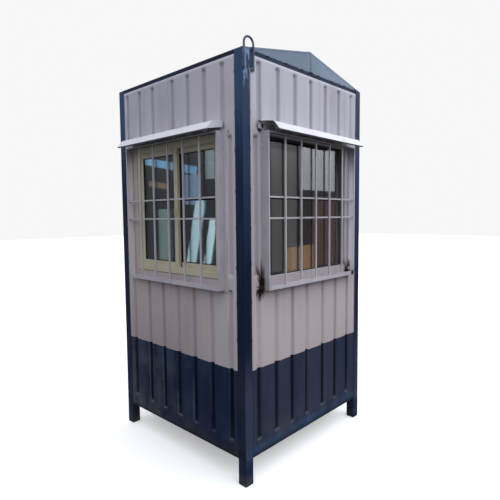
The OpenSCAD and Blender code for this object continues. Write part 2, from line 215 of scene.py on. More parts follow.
class Finish(Nodes):
    """A paint, metal, board or glass: a material and its node tree."""

    def __init__(self, name, **constants):
        self.material = bpy.data.materials.new(name)
        self.material.use_nodes = True
        super().__init__(self.material.node_tree, "Object")
        self.shader = self.tree.nodes["Principled BSDF"]
        self.give(**constants)

    def give(self, **sockets):
        """Feeds the surface shader's own sockets."""
        for socket, value in sockets.items():
            self.feed(self.shader.inputs[socket.replace("_", " ")], value)

    def surface(self, colour, rough, relief, strength, distance, **sockets):
        """Gives the colour, the roughness and a fine relief, and hands back the material."""
        depth = {"Strength": strength, "Distance": distance, "Height": relief}
        normal = self.node("Bump", {}, depth, out="Normal")
        self.give(Base_Color=colour, Roughness=rough, Normal=normal, **sockets)
        return self.material

    def near(self, point, reach, ragged, scale):
        """A smudge round a point, of a reach along each axis, with a ragged edge."""
        away = self.node("VectorMath", {"operation": "SUBTRACT"}, {0: self.place, 1: point})
        away = self.node("VectorMath", {"operation": "DIVIDE"}, {0: away, 1: reach})
        away = self.node("VectorMath", {"operation": "LENGTH"}, {0: away}, out="Value")
        edge = away + (self.grain(scale, detail=4.0) - 0.5) * (2 * ragged)
        return edge.rise(1.0, 0.25)

    def coats(self, colour, *coats):
        """Lays coats over a colour, each an amount and a tone."""
        for amount, tone in coats:
            colour = self.blend(amount, colour, tone)
        return colour

    def flame(self, foot, width, height):
        """Soot thrown on a side wall round a foot in ragged rays, longest upwards."""
        up = (self.z - foot[2]) / height
        up = up.most(up * -2.6)
        across = (self.y - foot[1]).absolute() / width
        turn = (self.y - foot[1]).maths("ARCTAN2", self.z - foot[2])
        rays = self.node("TexNoise", {"noise_dimensions": "1D"},
                         {"W": turn + foot[1] * 9, "Scale": 3.2, "Detail": 3.0, "Roughness": 0.7})
        away = (up * up + across * across) ** 0.5
        away = away / (rays.rise(0.30, 0.62) * 0.7 + 0.34)
        away = away + (self.grain(160.0, detail=3.0) - 0.5) * 0.35
        out = self.x * (1 if foot[0] > 0 else -1)
        return away.rise(1.0, 0.12) * out.rise(0.56, 0.58) * (out.rise(0.635, 0.612) * 0.8 + 0.2)


def paint(red, green, blue):
    """A colour of 0 to 255 a channel as the shader's linear values."""
    def linear(level):
        level /= 255
        return level / 12.92 if level <= 0.04045 else ((level + 0.055) / 1.055) ** 2.4
    return (linear(red), linear(green), linear(blue), 1.0)


# ================================================================ paints
# Lilac by height with painted light: lighter and bluer high up where the sky light falls, darker and warmer
# low down
LILAC_AND_PAINTED_LIGHT_BY_HEIGHT = (
    (0.62, paint(162, 150, 153)), (0.80, paint(171, 158, 161)), (1.06, paint(184, 170, 173)),
    (1.45, paint(186, 178, 183)), (1.94, paint(188, 182, 189)), (2.12, paint(190, 187, 197)),
)
# Painted shade on the lilac
LILAC_PAINTED_SHADE = paint(148, 140, 150)
LILAC_PALE = paint(204, 202, 212)
NAVY = paint(12, 27, 56)
# Painted sheen on the navy
NAVY_SHEEN = paint(24, 50, 88)
NAVY_DULL = paint(40, 43, 58)
# Painted shade on the navy: dark streaks and groove floors
NAVY_PAINTED_SHADE = paint(4, 8, 20)
SOOT = paint(22, 16, 15)
RUST = paint(104, 62, 38)
DUST = paint(150, 140, 130)

# Soot licked up the walls from the side grilles' fixing welds: foot, half width, height
FLAMES = (
    ((HALF_W, -0.472, 1.104), 0.056, 0.230),
    ((HALF_W, 0.436, 1.108), 0.052, 0.160),
    ((-HALF_W, 0.470, 1.105), 0.034, 0.110),
    ((-HALF_W, -0.446, 1.108), 0.022, 0.070),
)
# Burnt spots, and one spot of painted shade at the right rain shade's open near end: middle and reach in the
# booth's frame, and strength
BURNS = (
    ((HALF_W, -0.471, 1.110), (0.014, 0.018, 0.026), 1.0),
    ((HALF_W, -0.476, 1.080), (0.014, 0.008, 0.018), 0.6),
    ((HALF_W + 0.03, 0.436, 1.120), (0.10, 0.024, 0.040), 1.6),
    ((HALF_W, -0.476, 1.990), (0.03, 0.022, 0.016), 0.9),
    # painted shade in the open near end of the right rain shade
    ((HALF_W + 0.02, -0.452, 2.016), (0.05, 0.022, 0.022), 0.9),
    ((0.500, -HALF_D, 1.100), (0.018, 0.04, 0.010), 0.5),
    ((0.498, -HALF_D, 1.978), (0.010, 0.04, 0.012), 0.35),
    ((-HALF_W, 0.478, 1.118), (0.05, 0.018, 0.022), 0.8),
    ((-HALF_W, -0.448, 1.112), (0.05, 0.016, 0.016), 0.8),
)


def scorched(finish, colour):
    """Lays soot and a rusty rim over a colour round the fixing welds, and painted shade at the right rain
    shade's open near end.
    """
    heavy = None
    for point, reach, strength in BURNS:
        spot = finish.near(point, reach, 0.5, 55.0) * strength
        heavy = spot if heavy is None else heavy.most(spot)
    for foot, width, height in FLAMES:
        heavy = heavy.most(finish.flame(foot, width, height))
    colour = finish.blend(heavy.rise(0.0, 0.45) * 0.80, colour, paint(96, 72, 64))
    return finish.blend(heavy.rise(0.30, 0.85), colour, SOOT), heavy


def drip_below(finish, y, z, width, length):
    """A thin run down the right wall from a height."""
    across = (finish.y - y).absolute() + (finish.grain(25.0, (1, 1, 0.2)) - 0.5) * width
    down = (z - finish.z) / length
    run = across.rise(width, width * 0.2) * down.rise(0.0, 0.06) * down.rise(1.0, 0.3)
    return run * finish.x.rise(0.58, 0.59)


def lilac_coat(finish):
    """Sprayed lilac with faint runs and clouding, and painted light and shade: lighter and bluer high up,
    darker and warmer low down, painted shade on the right wall under its rain shade and in the grooves,
    painted light low on the right wall and at the front wall's right end.
    """
    cloud = finish.grain(1.7, detail=3.0)
    runs = finish.grain(14.0, (1, 1, 0.06), detail=4.0, shift=3.0)
    patches = finish.grain(6.0, (1, 1, 0.45), detail=4.0, shift=12.0)
    height = 2.4  # the colour ramp's whole length
    # The ramp carries painted light and shade: lighter up high, darker low down
    stops = [(z / height, tone) for z, tone in LILAC_AND_PAINTED_LIGHT_BY_HEIGHT]
    level = (finish.z + (cloud - 0.5) * 0.25) / height
    colour = finish.node("ValToRGB", {"stops": stops}, {0: level})
    # Painted shade: the right wall darker below its rain shade, from about 1 m up
    shaded_right_wall = finish.x.rise(BAY + 0.02, HALF_W - 0.02) * level.rise(2.10 / height, 1.96 / height)
    inset = HALF_W - finish.x.absolute().most(finish.y.absolute())
    right_wall = finish.x.rise(HALF_W - 0.05, HALF_W - 0.03)
    # Painted light: the front wall lighter towards its right end
    lit_front_end = finish.y.rise(0.05 - HALF_D, 0.03 - HALF_D) * finish.x.rise(0.05, 0.45)
    return finish.coats(
        colour,
        (shaded_right_wall * level.rise(0.90 / height, 1.15 / height) * 0.22, LILAC_PAINTED_SHADE),
        (runs.rise(0.50, 0.72) * 0.32, paint(146, 136, 144)),
        (patches.rise(0.52, 0.70) * 0.20, paint(150, 138, 142)),
        # painted shade in the groove hollows, with some grime
        (inset.rise(0.005, 0.014) * 0.30, paint(132, 126, 138)),
        (lit_front_end * 0.30, paint(216, 208, 216)),
        # painted light: the right wall lighter and warmer low down
        (right_wall * finish.z.rise(1.15, 0.85) * 0.42, paint(208, 191, 193)),
        (cloud.rise(0.55, 0.75) * 0.22, LILAC_PALE),
    ), inset


def navy_coat(finish):
    """Glossy navy with streaks of painted reflection, pale and dark, a purplish bloom low down and dust."""
    sheen_streaks = finish.grain(9.0, (1, 1, 0.12), detail=5.0, shift=1.0)
    bloom = finish.grain(2.6, (1, 1, 0.7), detail=3.0, shift=7.0)
    # Painted reflection: pale and dark vertical streaks in the gloss
    colour = finish.blend(sheen_streaks.rise(0.42, 0.8) * 0.55, NAVY, NAVY_SHEEN)
    colour = finish.blend(sheen_streaks.rise(0.42, 0.2) * 0.7, colour, NAVY_PAINTED_SHADE)
    low = finish.z.rise(0.85, 0.45)
    return finish.blend(bloom.rise(0.42, 0.62) * low * 0.75, colour, NAVY_DULL), sheen_streaks, bloom


def wall_paint():
    """The walls: lilac over navy, with a hand-cut line between them."""
    finish = Finish("wall_paint", Specular_IOR_Level=0.16)
    lilac, inset = lilac_coat(finish)
    lilac, heavy = scorched(finish, lilac)
    lilac = finish.blend(drip_below(finish, 0.437, 1.08, 0.0045, 0.22) * 0.75, lilac, RUST)
    navy, _, bloom = navy_coat(finish)
    edge = finish.z + (finish.grain(35.0, (1, 1, 0.3), detail=3.0) - 0.5) * 0.007
    low = edge.rise(PAINT_LINE + 0.0012, PAINT_LINE - 0.0012)
    splash = finish.grain(90.0, detail=2.0, shift=4.0).rise(0.70, 0.74)
    splash = splash * finish.z.rise(0.80, 0.66) * 0.5
    colour = finish.blend(splash * (1 - low), lilac, NAVY_DULL)
    lit_right_side = finish.x.rise(HALF_W - 0.05, HALF_W - 0.03)
    haze = finish.grain(4.2, (1, 1, 0.5), detail=4.0, shift=23.0).rise(0.30, 0.65)
    # Painted light: the navy on the right wall paler
    navy = finish.blend(lit_right_side * (haze * 0.35 + 0.30), navy, paint(56, 60, 78))
    colour = finish.blend(low, colour, navy)
    smears = finish.grain(3.6, (1, 1, 0.8), detail=5.0, rough=0.6, shift=15.0).rise(0.44, 0.60)
    smears = smears * finish.x.rise(0.12, -0.20) * finish.y.rise(0.2, -0.5) * finish.z.rise(0.62, 0.50)
    # Painted reflection: horizontal bands on the front navy
    reflection_bands = finish.grain(5.0, (0.6, 0.6, 2.6), detail=4.0, shift=19.0).rise(0.56, 0.66)
    reflection_bands = reflection_bands * finish.x.rise(0.30, 0.05) * finish.y.rise(0.2, -0.5) * finish.z.rise(0.30, 0.40)
    # Painted highlight on the groove flanks of the navy, less on the right wall
    flank_highlight = inset.rise(0.0015, 0.0035) * inset.rise(0.0085, 0.0055)
    flank_highlight = flank_highlight * finish.grain(11.0, (1, 1, 0.15), detail=3.0, shift=17.0).rise(0.40, 0.58)
    # Paler marks at the groove feet: dust with painted highlight
    ledge = inset.rise(0.004, 0.009) * (finish.z - GROOVE_FOOT - 0.004).absolute().rise(0.009, 0.002)
    ledge = ledge * finish.grain(60.0, detail=2.0, shift=2.0).rise(0.30, 0.60)
    # Painted sheen along the right wall's foot and painted shade along the front wall's foot
    foot = finish.z.rise(BASE_Z + 0.075, BASE_Z + 0.050) * haze
    front_foot_shade = foot * finish.y.rise(0.05 - HALF_D, 0.03 - HALF_D) * finish.x.rise(-0.2, 0.1)
    dust = finish.z.rise(0.42, 0.14) * finish.grain(12.0, detail=4.0).rise(0.35, 0.7)
    colour = finish.coats(
        colour,
        # dusty smudges and bands of painted reflection on the front navy
        (smears.most(reflection_bands * 0.7) * low * 0.62, paint(70, 70, 80)),
        # painted shade on the navy groove floors
        (inset.rise(0.007, 0.013) * low * 0.7, NAVY_PAINTED_SHADE),
        (flank_highlight * low * (0.62 - lit_right_side * 0.35), paint(80, 94, 112)),
        (ledge * (0.38 - lit_right_side * 0.22), paint(96, 100, 110)),
        (foot * lit_right_side * 0.8, paint(38, 68, 100)),
        (front_foot_shade * 0.6, paint(8, 16, 34)),
        (dust * 0.08, DUST),
    )
    fine = finish.grain(420.0, detail=2.0)
    soft = finish.grain(7.0, (1, 1, 0.35), detail=2.0, shift=5.0)
    rough = 0.42 + fine * 0.06 - low * (0.24 - bloom * 0.25) + heavy * 0.3 + dust * 0.2
    return finish.surface(colour, rough, fine * 0.12 + soft * 2.0, 0.30, 0.0012)


def frame_paint():
    """The posts and rails: glossy navy enamel, chipped and rusting at a few edges, with painted sheen on the
    faces towards the sky light and high on the front, and painted shade on the front rails.
    """
    finish = Finish("frame_paint", Specular_IOR_Level=0.18)
    colour, sheen_streaks, bloom = navy_coat(finish)
    sky_side = finish.x.rise(HALF_W - 0.003, HALF_W - 0.0005)
    # Painted sheen: the right faces paler high up, and the front faces high up
    sky_sheen = sky_side * finish.z.rise(1.2, 2.0) * 0.30
    front_side = finish.y.rise(0.003 - HALF_D, 0.0005 - HALF_D)
    sheen = front_side * finish.z.rise(1.7, 2.2) * 0.85
    dusty = sky_side * finish.z.rise(0.80, 0.50) * bloom.rise(0.25, 0.55) * finish.z.rise(0.08, 0.18)
    rail = finish.z.rise(BASE_Z + 0.065, BASE_Z + 0.055) * finish.z.rise(BASE_Z - 0.002, BASE_Z + 0.002)
    # Fine vertical runs in relief, coloured as streaks of painted sheen
    runs_and_sheen = finish.grain(30.0, (1, 1, 0.03), detail=3.0, shift=2.0)
    chips = finish.grain(55.0, (1, 1, 0.5), detail=5.0, shift=9.0).rise(0.715, 0.76)
    far_edge = finish.y.rise(HALF_D - 0.024, HALF_D - 0.006) * finish.x.rise(0.55, 0.60)
    far_edge = far_edge * finish.grain(14.0, (1, 1, 0.5), detail=5.0, shift=11.0).rise(0.46, 0.62)
    far_edge = far_edge * finish.z.rise(1.5, 1.0)
    colour = finish.coats(
        colour,
        (sky_sheen.most(sheen * bloom.rise(0.30, 0.55)), paint(54, 82, 120)),
        (dusty * 0.6, paint(62, 70, 92)),
        # painted sheen on the rails' right faces and painted shade on their front faces
        (rail * sky_side * 0.7, paint(48, 70, 96)),
        (rail * front_side * 0.6, paint(10, 18, 36)),
        (runs_and_sheen.rise(0.55, 0.72) * 0.35, NAVY_SHEEN),
        (chips.most(far_edge * 0.75), RUST),
    )
    # Pale paint run down between the legs of each lifting loop
    for sign in (1, -1):
        along = (finish.y * sign + (HALF_D - 0.032)).absolute()
        face = (finish.x * sign).rise(HALF_W - 0.004, HALF_W - 0.001)
        wet = finish.grain(38.0, (1, 1, 0.22), detail=3.0, shift=13.0 + sign)
        drips = along.rise(0.030, 0.020) * face * finish.z.rise(2.18, 2.26) * wet.rise(0.40, 0.50)
        colour = finish.blend(drips * 0.95, colour, paint(126, 150, 184))
    mud = finish.z.rise(0.10, 0.0) * finish.grain(16.0, detail=4.0).rise(0.35, 0.65)
    colour = finish.blend(mud * 0.5, colour, paint(92, 86, 80))
    fine = finish.grain(260.0, detail=3.0)
    rough = 0.30 + fine * 0.10 + chips * 0.35 + mud * 0.3 + sheen_streaks * 0.08
    return finish.surface(colour, rough, fine * 0.25 + runs_and_sheen * 0.6 + chips * -0.8, 0.35, 0.0008)


def roof_paint():
    """The gables and roof slopes: brushed blue-grey, with painted light towards the back and painted shadow
    along their foot.
    """
    finish = Finish("roof_paint", Specular_IOR_Level=0.5)
    cloud = finish.grain(1.3, detail=2.0, shift=2.0)
    brush = finish.grain(8.0, (1, 0.4, 1), detail=3.0, shift=6.0)
    lap = (finish.y - 0.007).absolute().rise(0.012, 0.004) * finish.z.rise(POST_TOP + 0.16, POST_TOP)
    # Painted shadow along the foot of the gables, over the gap at the top of the walls
    foot = finish.z.rise(POST_TOP + 0.012, POST_TOP) * finish.grain(40.0, detail=3.0).rise(0.3, 0.6)
    colour = finish.coats(
        finish.blend(cloud.rise(0.3, 0.7), paint(92, 110, 134), paint(110, 126, 148)),
        # painted light: lighter towards the back
        (finish.y.rise(-0.15, 0.25) * 0.75, paint(134, 148, 170)),
        (brush.rise(0.5, 0.8) * 0.3, paint(82, 100, 124)),
        (lap * 0.5, paint(52, 62, 84)),
        (foot * 0.7, paint(44, 54, 76)),
    )
    fine = finish.grain(200.0, detail=3.0)
    return finish.surface(colour, 0.46 + fine * 0.10, fine * 0.3 + brush * 1.2, 0.3, 0.001)


def pale_paint(name, tone, second, shaded_end=None):
    """The grilles' and rain shades' paler coat: grimy, with painted shade on the undersides and painted light
    on two return faces that catch the sky.
    """
    finish = Finish(name, Specular_IOR_Level=0.35)
    cloud = finish.grain(5.0, detail=3.0, shift=4.0)
    facing = finish.node("SeparateXYZ", {}, {0: finish.node("NewGeometry", out="Normal")}, out="Z")
    # Painted light on two inward return faces that catch the sky light: the right grille's far one and the
    # front grille's left one
    lit_far_return = facing.part("Y").rise(-0.5, -0.8) * finish.y.rise(0.42, 0.44)
    lit_far_return = lit_far_return * finish.x.rise(HALF_W, HALF_W + 0.006) * finish.z.rise(1.95, 1.75)
    lit_left_return = facing.part("X").rise(0.5, 0.8) * finish.x.rise(-0.42, -0.44)
    lit_left_return = lit_left_return * finish.y.rise(-HALF_D, -HALF_D - 0.006) * finish.z.rise(1.98, 1.85)
    grime = finish.grain(24.0, (1, 1, 0.3), detail=5.0, shift=8.0).rise(0.58, 0.8)
    colour = finish.coats(
        finish.blend(cloud.rise(0.35, 0.75) * 0.6, tone, second),
        # painted shade on the undersides
        (facing.rise(-0.2, -0.6) * 0.75, paint(58, 54, 60)),
        (lit_far_return * 0.95, paint(252, 248, 254)),
        (lit_left_return * 0.8, paint(238, 226, 228)),
        (grime * 0.45, paint(134, 118, 122)),
    )
    if shaded_end:
        top, end = shaded_end
        # Painted shade on the open near end of the right rain shade
        end_shade = finish.y.rise(end + 0.002, end) * finish.x.rise(HALF_W - 0.02, HALF_W - 0.01)
        end_shade = end_shade * finish.z.rise(top + 0.014, top + 0.006)
        end_shade = end_shade * finish.grain(50.0, detail=3.0).rise(0.2, 0.4)
        colour = finish.blend(end_shade * 0.9, colour, paint(40, 40, 46))
    nicks = (finish.z - (GRILLE[0].z + 0.0265)).absolute().rise(0.0040, 0.0015)
    nicks = nicks * finish.grain(48.0, detail=4.0, shift=21.0).rise(0.54, 0.62)
    nicks = nicks * finish.x.rise(HALF_W, HALF_W + 0.02)
    colour = finish.blend(nicks * 0.75, colour, paint(70, 62, 66))
    colour, heavy = scorched(finish, colour)
    specks = finish.grain(130.0, detail=3.0, shift=3.0).rise(0.72, 0.78)
    colour = finish.blend(specks * 0.6, colour, RUST)
    fine = finish.grain(300.0, detail=3.0)
    return finish.surface(colour, 0.36 + fine * 0.1 + heavy * 0.3, fine * 0.3, 0.3, 0.0008)


def window_coat():
    """The sliding window's powder-coated aluminium, an olive cream."""
    finish = Finish("window_coat", Specular_IOR_Level=0.5)
    cloud = finish.grain(6.0, detail=2.0, shift=1.0)
    colour = finish.blend(cloud, paint(200, 192, 168), paint(184, 174, 148))
    draw = finish.grain(80.0, (1, 1, 0.02), detail=2.0)
    dust = finish.grain(18.0, detail=5.0, shift=5.0).rise(0.55, 0.8)
    colour = finish.blend(dust * 0.4, colour, paint(140, 130, 112))
    rough = 0.36 + dust * 0.25 + draw * 0.05
    return finish.surface(colour, rough, draw * 0.4 + dust * 0.3, 0.2, 0.0006)


def pane(name, tint, film, film_amount):
    """A pane: see-through with a tint, a film of dust and a mirror that grows at a slant."""
    finish = Finish(name, Roughness=0.5, Base_Color=film, Specular_IOR_Level=0.2)
    dust = finish.grain(5.0, detail=5.0, shift=2.0).rise(0.45, 0.8)
    wipes = finish.grain(3.0, (1, 1, 0.25), detail=4.0, shift=6.0).rise(0.45, 0.7)
    film_share = film_amount * (0.5 + wipes + dust)
    film_surface = Wire(finish, finish.shader.outputs[0])
    through = finish.node("BsdfTransparent", {}, {0: tint})
    dusty = finish.node("MixShader", {}, {0: film_share, 1: through, 2: film_surface})
    mirror = finish.node("BsdfAnisotropic", {}, {"Roughness": 0.02, "Color": (1, 1, 1, 1)})
    slant = finish.node("Fresnel", {}, {"IOR": 1.52})
    glass = finish.node("MixShader", {}, {0: (slant * 1.7).least(0.9), 1: dusty, 2: mirror})
    finish.tree.links.new(glass.socket, finish.tree.nodes["Material Output"].inputs[0])
    return finish.material


def laminate():
    """The walls' inside boards: dark red-brown wood-grain laminate."""
    finish = Finish("lining_laminate")
    grain = finish.grain(9.0, (6, 6, 0.35), detail=6.0, rough=0.6)
    rings = finish.node(
        "TexWave", {"wave_type": "BANDS", "bands_direction": "X"},
        {"Scale": 7.0, "Distortion": 5.0, "Detail": 3.0, "Detail Scale": 0.6, "Vector": finish.place}
    )
    colour = finish.blend(grain, paint(74, 42, 36), paint(112, 68, 54))
    colour = finish.blend(rings * 0.35, colour, paint(56, 32, 28))
    return finish.surface(colour, 0.38 + grain * 0.15, grain, 0.15, 0.0006)


def floor_ply():
    """The floor: film-faced plywood, scuffed by boots."""
    finish = Finish("floor_ply")
    scuffs = finish.grain(20.0, (1, 0.2, 1), detail=6.0)
    cloud = finish.grain(3.0, detail=3.0)
    colour = finish.blend(scuffs.rise(0.45, 0.7), paint(88, 66, 50), paint(128, 106, 86))
    colour = finish.blend(cloud.rise(0.5, 0.8) * 0.4, colour, paint(70, 62, 56))
    return finish.surface(colour, 0.5 + scuffs * 0.25, scuffs, 0.2, 0.0008)


def plain_finish(name, tone, second, rough, scale=30.0, stretch=(1, 1, 1), lift=0.3, **constants):
    """A plain stuff with a slow change of tone and a fine grain."""
    finish = Finish(name, **constants)
    cloud = finish.grain(scale, stretch, detail=4.0)
    fine = finish.grain(scale * 12, detail=3.0, shift=3.0)
    colour = finish.blend(cloud.rise(0.3, 0.7), tone, second)
    return finish.surface(colour, rough + fine * 0.15 + cloud * 0.08, fine, lift, 0.0006)


def loop_paint():
    """The lifting loops: navy over bright bar, worn pale on top."""
    finish = Finish("loop_paint", Specular_IOR_Level=0.5)
    worn = finish.grain(60.0, (1, 1, 0.4), detail=5.0)
    top = finish.z.rise(POST_TOP - 0.06, POST_TOP + 0.05)
    colour = finish.blend(worn.rise(0.35, 0.65), paint(40, 54, 80), paint(84, 100, 124))
    colour = finish.blend((worn.rise(0.5, 0.7) * top) * 0.8, colour, paint(128, 136, 148))
    colour = finish.blend(worn.rise(0.72, 0.8), colour, RUST)
    bare = worn.rise(0.6, 0.7) * top * 0.6
    return finish.surface(colour, 0.42 + worn * 0.2, worn, 0.35, 0.0008, Metallic=bare)


WALL_PAINT = wall_paint()
FRAME_PAINT = frame_paint()
ROOF_PAINT = roof_paint()
GRILLE_PAINT = pale_paint("grille_paint", paint(186, 181, 189), paint(166, 158, 167))
# Painted shade in the right rain shade's open near end
# Paler than the grille paint, raised further as painted light where the lips catch the sky
SHADE_PAINT = pale_paint("shade_paint", paint(226, 224, 231), paint(206, 203, 213),
                         (GRILLE[1].z + 0.045, SHADE[0].x + 0.006))
WINDOW_COAT = window_coat()
CLEAR_GLASS = pane("clear_glass", (0.56, 0.64, 0.66, 1), paint(120, 132, 134), 0.012)
TINTED_GLASS = pane("tinted_glass", (0.40, 0.38, 0.39, 1), paint(90, 88, 88), 0.012)
LAMINATE = laminate()
FLOOR_PLY = floor_ply()
CEILING_WHITE = plain_finish("ceiling_board", paint(176, 170, 160), paint(160, 152, 142), 0.55, 4.0)
RUBBER = plain_finish("black_rubber", paint(22, 24, 26), paint(38, 40, 42), 0.6, 40.0)
LOOP_PAINT = loop_paint()
BRIGHT_STEEL = plain_finish(
    "handle_steel", paint(168, 168, 170), paint(140, 140, 144), 0.24, 20.0, (1, 1, 0.2), 0.2, Metallic=0.9
)
ZINC = plain_finish("zinc_screw", paint(150, 150, 146), paint(112, 108, 100), 0.38, 60.0, Metallic=0.8)
BURNT_WELD = plain_finish(
    "burnt_weld", paint(24, 18, 17), paint(66, 46, 38), 0.55, 90.0, lift=0.6, Specular_IOR_Level=0.3
)


# ================================================================ shapes
def lofted(rings, sides):
    """The faces between rings of points that follow one another, and a cap at both ends."""
    faces = []
    for low in range(0, (rings - 1) * sides, sides):
        high = low + sides
        for k in range(sides):
            n = (k + 1) % sides
            faces.append((low + k, low + n, high + n, high + k))
    return faces + [tuple(range(sides))[::-1], tuple(range((rings - 1) * sides, rings * sides))]


class Shape:
    """Points and faces gathered for one piece, placed by a matrix as they are added."""

    def __init__(self, place=None):
        self.place = place or Matrix.Identity(4)
        self.points, self.faces, self.smooth = [], [], []

    def add(self, points, faces, smooth=True):
        base = len(self.points)
        self.points += [self.place @ Vector(p) for p in points]
        self.faces += [tuple(base + i for i in face) for face in faces]
        self.smooth += [smooth] * len(faces)

    def block(self, low, high):
        """A box between two corners."""
        (x0, y0, z0), (x1, y1, z1) = low, high
        corners = [(x, y, z) for x in (x0, x1) for y in (y0, y1) for z in (z0, z1)]
        faces = [(0, 1, 3, 2), (4, 6, 7, 5), (0, 4, 5, 1), (2, 3, 7, 6), (0, 2, 6, 4), (1, 5, 7, 3)]
        self.add(corners, faces, False)

    def ring(self, x, z, face, y, upright=True):
        """A rectangular frame of four bars inside spans of x and z, its uprights or its rails whole."""
        (x0, x1), (z0, z1), (y0, y1) = x, z, y
        if upright:
            bars = [(x0, x0 + face, z0, z1), (x1 - face, x1, z0, z1),
                    (x0 + face, x1 - face, z0, z0 + face), (x0 + face, x1 - face, z1 - face, z1)]
        else:
            bars = [(x0, x1, z0, z0 + face), (x0, x1, z1 - face, z1),
                    (x0, x0 + face, z0 + face, z1 - face), (x1 - face, x1, z0 + face, z1 - face)]
        for a, b, c, d in bars:
            self.block((a, y0, c), (b, y1, d))

    def plate(self, outline, y0, y1):
        """A flat plate with an outline in x and z, between two depths."""
        points = [(x, y, z) for y in (y0, y1) for x, z in outline]
        self.add(points, [face[::-1] for face in lofted(2, len(outline))], False)

    def section(self, outline, x0, x1):
        """A profile in y and z run along x."""
        self.add([(x, y, z) for x in (x0, x1) for y, z in outline], lofted(2, len(outline)), False)

    def tube(self, path, radii, sides=8):
        """A round bar through the points of a path, closed at both ends."""
        path = [Vector(p) for p in path]
        if not hasattr(radii, "__len__"):
            radii = [radii] * len(path)
        points, side = [], None
        for i, here in enumerate(path):
            ahead = path[min(i + 1, len(path) - 1)] - path[max(i - 1, 0)]
            ahead.normalize()
            if side is None:
                side = ahead.orthogonal().normalized()
            side = (side - ahead * side.dot(ahead)).normalized()
            other = ahead.cross(side)
            for k in range(sides):
                turn = 2 * math.pi * k / sides
                points.append(here + radii[i] * (side * math.cos(turn) + other * math.sin(turn)))
        self.add(points, lofted(len(path), sides))

    def bead(self, start, end, radius, draw, step=0.0045):
        """A rippled weld bead between two points."""
        start, end = Vector(start), Vector(end)
        count = max(3, int((end - start).length / step))
        path, radii = [], []
        for i in range(count + 1):
            t = i / count
            swell = 0.80 + 0.22 * (i % 2) + 0.22 * draw.random()
            taper = min(1.0, 0.35 + 3 * min(t, 1 - t) * count / 4)
            path.append(start.lerp(end, t) + Vector([(draw.random() - 0.5) * radius * 0.35] * 3))
            radii.append(radius * swell * taper)
        self.tube(path, radii, 6)

    def bead_row(self, low, high, y, z, length, radius, draw, step, spare):
        """Short beads along x at uneven steps, from a low end up to a high one."""
        x = low
        while x < high:
            self.bead((x, y, z), (x + length, y, z), radius, draw)
            x += step + spare * draw.random()

    def blob(self, middle, reach, draw, sides=8, rings=5):
        """A lump of weld metal or paint: a rough ball squashed to a reach along each axis."""
        points = []
        for r in range(1, rings):
            tilt = math.pi * r / rings
            for k in range(sides):
                turn = 2 * math.pi * k / sides
                swell = 0.82 + 0.34 * draw.random()
                points.append((
                    middle[0] + reach[0] * swell * math.sin(tilt) * math.cos(turn),
                    middle[1] + reach[1] * swell * math.sin(tilt) * math.sin(turn),
                    middle[2] + reach[2] * swell * math.cos(tilt),
                ))
        top = len(points)
        points.append((middle[0], middle[1], middle[2] + reach[2]))
        points.append((middle[0], middle[1], middle[2] - reach[2]))
        faces = [face[::-1] for face in lofted(rings - 1, sides)[:-2]]
        for k in range(sides):
            n = (k + 1) % sides
            faces.append((top, k, n))
            faces.append((top + 1, (rings - 2) * sides + n, (rings - 2) * sides + k))
        self.add(points, faces)

    def screw(self, x, y, z, radius, height):
        """A domed screw head on a face that looks out of the wall."""
        rings = [(1.0, 0.0), (1.0, 0.25), (0.86, 0.7), (0.5, 1.0), (0.16, 0.75)]
        sides = 12
        turns = [2 * math.pi * k / sides for k in range(sides)]
        points = [(x + radius * r * math.cos(turn), y - height * h, z + radius * r * math.sin(turn))
                  for r, h in rings for turn in turns]
        self.add(points, lofted(len(rings), sides))

    def piece(self, name, finish, slot, stands_for=(), ease=0.0, segments=2):
        """Makes the piece, rides it on the booth and eases its edges."""
        mesh = bpy.data.meshes.new(name)
        mesh.from_pydata(self.points, [], self.faces)
        mesh.polygons.foreach_set("use_smooth", self.smooth)
        mesh.materials.append(finish)
        mesh.update()
        piece = bpy.data.objects.new(name, mesh)
        bpy.context.scene.collection.objects.link(piece)
        if ease:
            ease_edges(piece, ease, segments)
        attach(piece, BODY)
        if stands_for:
            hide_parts(*stands_for)
        return piece


def on_wall(side):
    """A new shape in a wall's own frame."""
    return Shape(wall_place(side))


def ease_edges(piece, width, segments=2):
    """Rounds every sharp edge a little, as folded or drawn metal has."""
    bevel = piece.modifiers.new("eased_edges", "BEVEL")
    bevel.width = width
    bevel.segments = segments
    bevel.limit_method = "ANGLE"
    bevel.angle_limit = math.radians(35)
    bevel.harden_normals = True


# ================================================================ pressed walls
def groove_row(first, pitch, jog_after, jog):
    """Groove centres from the left post: a first distance, a pitch and one wider flat."""
    span = 2 * BAY
    count = int((span - first - jog - GROOVE_MOUTH) / pitch + 1e-6)
    return [-BAY + first + i * pitch + (jog if i > jog_after else 0) for i in range(count + 1)]


def ramp(distance, full, zero):
    """1 up to a distance, smoothly down to 0 at another."""
    t = np.clip((zero - distance) / (zero - full), 0, 1)
    return t * t * (3 - 2 * t)


def spread(low, high):
    """The grid's lines between two ends, about a step apart."""
    return set(np.linspace(low, high, max(2, int(round((high - low) / GRID_STEP)) + 1)))


